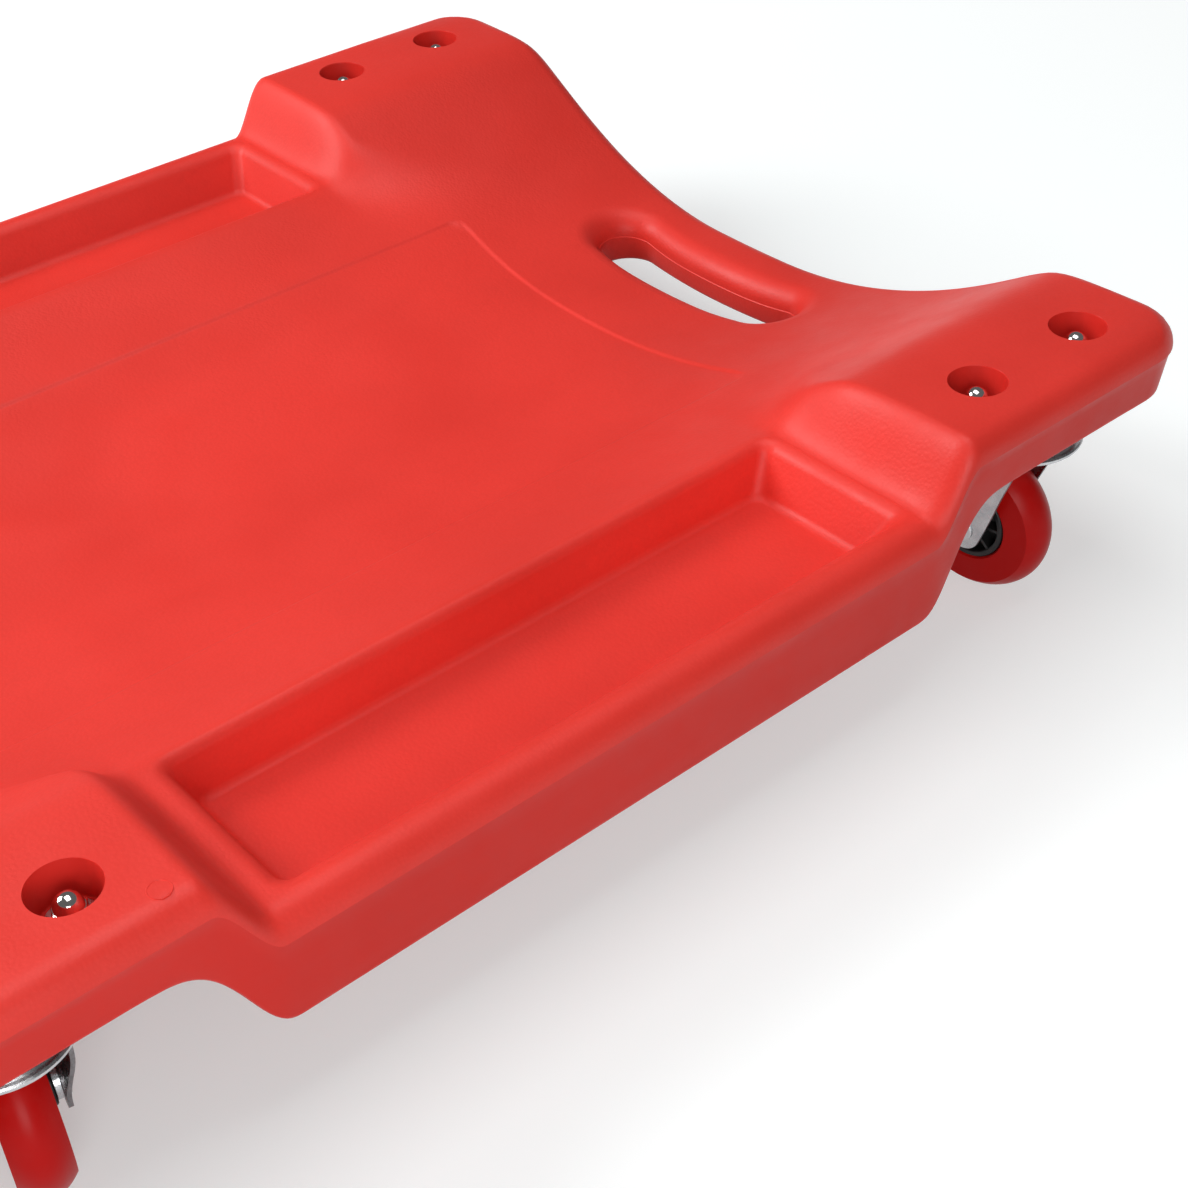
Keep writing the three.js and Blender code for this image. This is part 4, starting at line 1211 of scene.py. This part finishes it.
def build_floor():
    """Pale paper that keeps the shadow, and glows for the rays that see it; the glow is weaker near the creeper
    as a painted shadow.
    """
    material = bpy.data.materials.new("floor")
    material.use_nodes = True
    tree = material.node_tree
    tree.nodes.clear()
    seen = {0: seen_rays(tree), 1: floor_glow_and_painted_shadow(tree)}
    strength = shader_node(tree, "Math", inputs=seen, operation="MULTIPLY")
    glow = shader_node(tree, "Emission", inputs={"Strength": strength})
    paper = shader_node(tree, "BsdfDiffuse", inputs={"Color": FLOOR_WHITE})
    both = shader_node(tree, "AddShader", inputs={0: paper, 1: glow})
    tree.links.new(both, tree.nodes.new("ShaderNodeOutputMaterial").inputs["Surface"])
    corners = [(x * FLOOR_REACH, y * FLOOR_REACH, 0) for x, y in ((-1, -1), (1, -1), (1, 1), (-1, 1))]
    mesh_object("floor", corners, [(0, 1, 2, 3)], [material])


def build_world():
    """White at the horizon and darker overhead for the rays that see it, and a weak light for the rest."""
    world = bpy.data.worlds.new("world")
    bpy.context.scene.world = world
    world.use_nodes = True
    tree = world.node_tree
    height = shader_node(tree, "SeparateXYZ", "Z", {0: shader_node(tree, "TexCoord", "Generated")})
    seen = {"Value": height, "From Min": 0, "From Max": HORIZON_HEIGHT, "To Min": 1, "To Max": CEILING}
    backdrop = shader_node(tree, "MapRange", "Result", seen)
    light = {"Value": seen_rays(tree), "To Min": WORLD_FILL, "To Max": backdrop}
    back = tree.nodes["Background"]
    back.inputs["Color"].default_value = (1, 1, 1, 1)
    tree.links.new(shader_node(tree, "MapRange", "Result", light), back.inputs["Strength"])


# Materials

class Surface:
    """A node material in object coordinates, in metres, built up from noises, ramps and bumps."""

    def __init__(self, name, roughness, metallic=0.0, specular=0.5):
        self.material = bpy.data.materials.new(name)
        self.material.use_nodes = True
        self.tree = self.material.node_tree
        self.sockets = self.tree.nodes["Principled BSDF"].inputs
        self.sockets["Roughness"].default_value = roughness
        self.sockets["Metallic"].default_value = metallic
        self.sockets["Specular IOR Level"].default_value = specular
        self.place = self.node("TexCoord", "Object")
        self.normal = None

    def node(self, kind, output=0, inputs=(), **settings):
        return shader_node(self.tree, kind, output, inputs, **settings)

    def stretched(self, scale):
        return self.node("Mapping", "Vector", {"Scale": scale, "Vector": self.place})

    def noise(self, scale, detail=2.0, roughness=0.5, place=None):
        inputs = {"Scale": scale, "Detail": detail, "Roughness": roughness, "Vector": place or self.place}
        return self.node("TexNoise", "Fac", inputs)

    def pebbles(self, scale, smoothness, place=None):
        inputs = {"Scale": scale, "Smoothness": smoothness, "Vector": place or self.place}
        return self.node("TexVoronoi", "Distance", inputs, feature="SMOOTH_F1")

    def math(self, operation, a, b):
        return self.node("Math", inputs={0: a, 1: b}, operation=operation)

    def spread(self, value, low, high, from_low=0.3, from_high=0.7):
        inputs = {"Value": value, "From Min": from_low, "From Max": from_high, "To Min": low, "To Max": high}
        return self.node("MapRange", "Result", inputs)

    def blend(self, share, first, second):
        return self.node("Mix", "Result", {"Factor": share, "A": first, "B": second}, data_type="RGBA")

    def bump(self, height, distance, strength):
        inputs = {"Distance": distance, "Strength": strength, "Height": height}
        if self.normal:
            inputs["Normal"] = self.normal
        self.normal = self.node("Bump", "Normal", inputs)

    def finish(self, color, roughness=None):
        for name, source in (("Base Color", color), ("Roughness", roughness), ("Normal", self.normal)):
            if source:
                self.tree.links.new(source, self.sockets[name])
        return self.material


def shaded(color, share):
    return tuple(c * share for c in color)


def grained_plastic():
    """Moulded deck top: a leathery pebble grain whose pits are darkened as painted shade, and slow drifts in
    colour and sheen.
    """
    s = Surface("deck_grain", 0.5, specular=0.4)
    warp = s.math("MULTIPLY", s.noise(900), 0.0006)
    cells = s.pebbles(760, 0.7, s.node("VectorMath", inputs={0: s.place, 1: warp}))
    fine = s.noise(1500, 3, 0.6)
    s.bump(s.math("SUBTRACT", s.math("MULTIPLY", fine, 0.4), cells), 0.00020, 0.30)
    s.bump(s.noise(55), 0.0004, 0.08)
    worn = tuple(min(1, c * 1.06 + 0.004) for c in DECK_RED)
    shade = s.blend(s.spread(s.noise(9, 3), 0, 1, 0.35, 0.65), shaded(DECK_RED, 0.93), worn)
    # The pits between the pebbles are darkened: painted shade.
    pits_with_painted_shade = s.blend(s.spread(cells, 0, 0.16, 0.3, 0.75), shade, shaded(DECK_RED, 0.86))
    return s.finish(pits_with_painted_shade, s.spread(s.noise(38, 4, 0.6), 0.44, 0.56))


def smooth_plastic():
    """Skirt, recesses and underside: smoother plastic with faint draw marks and scuffs."""
    s = Surface("deck_smooth", 0.42, specular=0.13)
    s.bump(s.noise(700), 0.00005, 0.35)
    s.bump(s.noise(140, 3, 0.6, s.stretched((0.2, 0.2, 2.5))), 0.00012, 0.25)
    shade = s.blend(s.spread(s.noise(14, 3), 0, 1), SKIRT_RED, shaded(SKIRT_RED, 1.08))
    return s.finish(shade, s.spread(s.noise(60, 4, 0.65), 0.30, 0.46))


def urethane():
    """Satin tyre: fine mould texture, with a slightly dusty, worn tread."""
    s = Surface("tyre_urethane", 0.35, specular=0.13)
    s.bump(s.noise(1600), 0.00004, 0.4)
    s.bump(s.noise(260, 3, 0.6), 0.00008, 0.25)
    dust = s.spread(s.noise(180, 4, 0.65), 0, 0.06, 0.5, 0.8)
    shade = s.blend(dust, TYRE_RED, (0.42, 0.12, 0.10))
    return s.finish(shade, s.spread(s.noise(90, 3), 0.28, 0.42))


def nylon():
    s = Surface("hub_nylon", 0.45, specular=0.4)
    s.bump(s.noise(1400, 3), 0.00005, 0.5)
    shade = s.blend(s.noise(220, 3), (0.006, 0.006, 0.006), (0.018, 0.017, 0.018))
    return s.finish(shade, s.spread(s.noise(120, 3), 0.35, 0.55))


def zinc_plate():
    """Bright zinc on rolled steel: a faint drawn grain, cloudy patches and a few dull spots."""
    s = Surface("zinc_plate", 0.25, metallic=1.0)
    s.bump(s.noise(420, 3, 0.6, s.stretched((1, 1, 0.12))), 0.00003, 0.25)
    s.bump(s.noise(2400), 0.00002, 0.2)
    cloud = s.spread(s.noise(160, 4, 0.6), 0, 1, 0.35, 0.65)
    shade = s.blend(cloud, (0.48, 0.49, 0.51), (0.62, 0.62, 0.63))
    return s.finish(shade, s.spread(s.noise(310, 4, 0.6), 0.18, 0.36))


def cut_edge_steel_painted_shade():
    """Cut edge of the sheet: a far darker grey as painted shade, duller, with fine streaks across it."""
    s = Surface("sheared_edge", 0.5, metallic=1.0)
    streaks = s.noise(900, 3, 0.6, s.stretched((1, 1, 0.25)))
    s.bump(streaks, 0.00005, 0.5)
    # These greys are far darker than any steel: painted shade for the dark reflection these edges show.
    shade = s.blend(s.spread(streaks, 0, 1), (0.17, 0.16, 0.17), (0.30, 0.29, 0.30))
    return s.finish(shade, s.spread(s.noise(200, 3), 0.40, 0.60))


def nickel_plate():
    s = Surface("nickel_plate", 0.08, metallic=1.0)
    s.bump(s.noise(700), 0.00002, 0.25)
    shade = s.blend(s.noise(300), (0.80, 0.78, 0.75), (0.88, 0.86, 0.84))
    return s.finish(shade, s.spread(s.noise(500, 3), 0.05, 0.14))


def vinyl():
    """Black cover with a fine leather grain."""
    s = Surface("vinyl_cover", 0.42)
    cells = s.pebbles(900, 0.5)
    s.bump(s.math("SUBTRACT", s.math("MULTIPLY", s.noise(1800, 3), 0.5), cells), 0.00018, 0.6)
    s.bump(s.noise(75, 3), 0.0006, 0.15)
    shade = s.blend(s.spread(s.noise(30, 4), 0, 1), (0.012, 0.012, 0.013), (0.022, 0.021, 0.022))
    return s.finish(shade, s.spread(s.noise(110, 4, 0.6), 0.34, 0.50))


def plywood():
    """Veneered board: long grain on the faces, plies on the edge."""
    s = Surface("plywood", 0.62, specular=0.3)
    grain = s.noise(120, 5, 0.62, s.stretched((6, 0.35, 1)))
    plies = s.noise(700, place=s.stretched((0.02, 0.02, 1)))
    shade = s.blend(s.spread(grain, 0, 1), (0.50, 0.33, 0.18), (0.30, 0.18, 0.09))
    shade = s.blend(s.spread(plies, 0, 0.5, 0.45, 0.6), shade, (0.24, 0.14, 0.07))
    s.bump(grain, 0.0002, 0.4)
    return s.finish(shade)


build_camera()
build_floor()
build_world()
area_light("key", (-0.7, 0.95, 1.15), (0.8, 0.8), 22)
area_light("top", (0.3, 0, 1.9), (1.4, 1.0), 14)
area_light("near", (-0.3, -1.0, 0.45), (0.5, 0.5), 5)
bpy.context.scene.view_settings.view_transform = "Standard"
build_deck([grained_plastic(), smooth_plastic()])
zinc, nickel = zinc_plate(), nickel_plate()
build_plates(zinc)
build_races(nickel)
build_forks([zinc, cut_edge_steel_painted_shade()])
build_tyres(urethane())
build_hubs(nylon())
build_axles(zinc)
build_bolts(zinc)
build_cap_nuts([zinc, nickel])
build_pad(vinyl())
build_board(plywood())
build_screws(zinc)

bpy.context.view_layer.update()
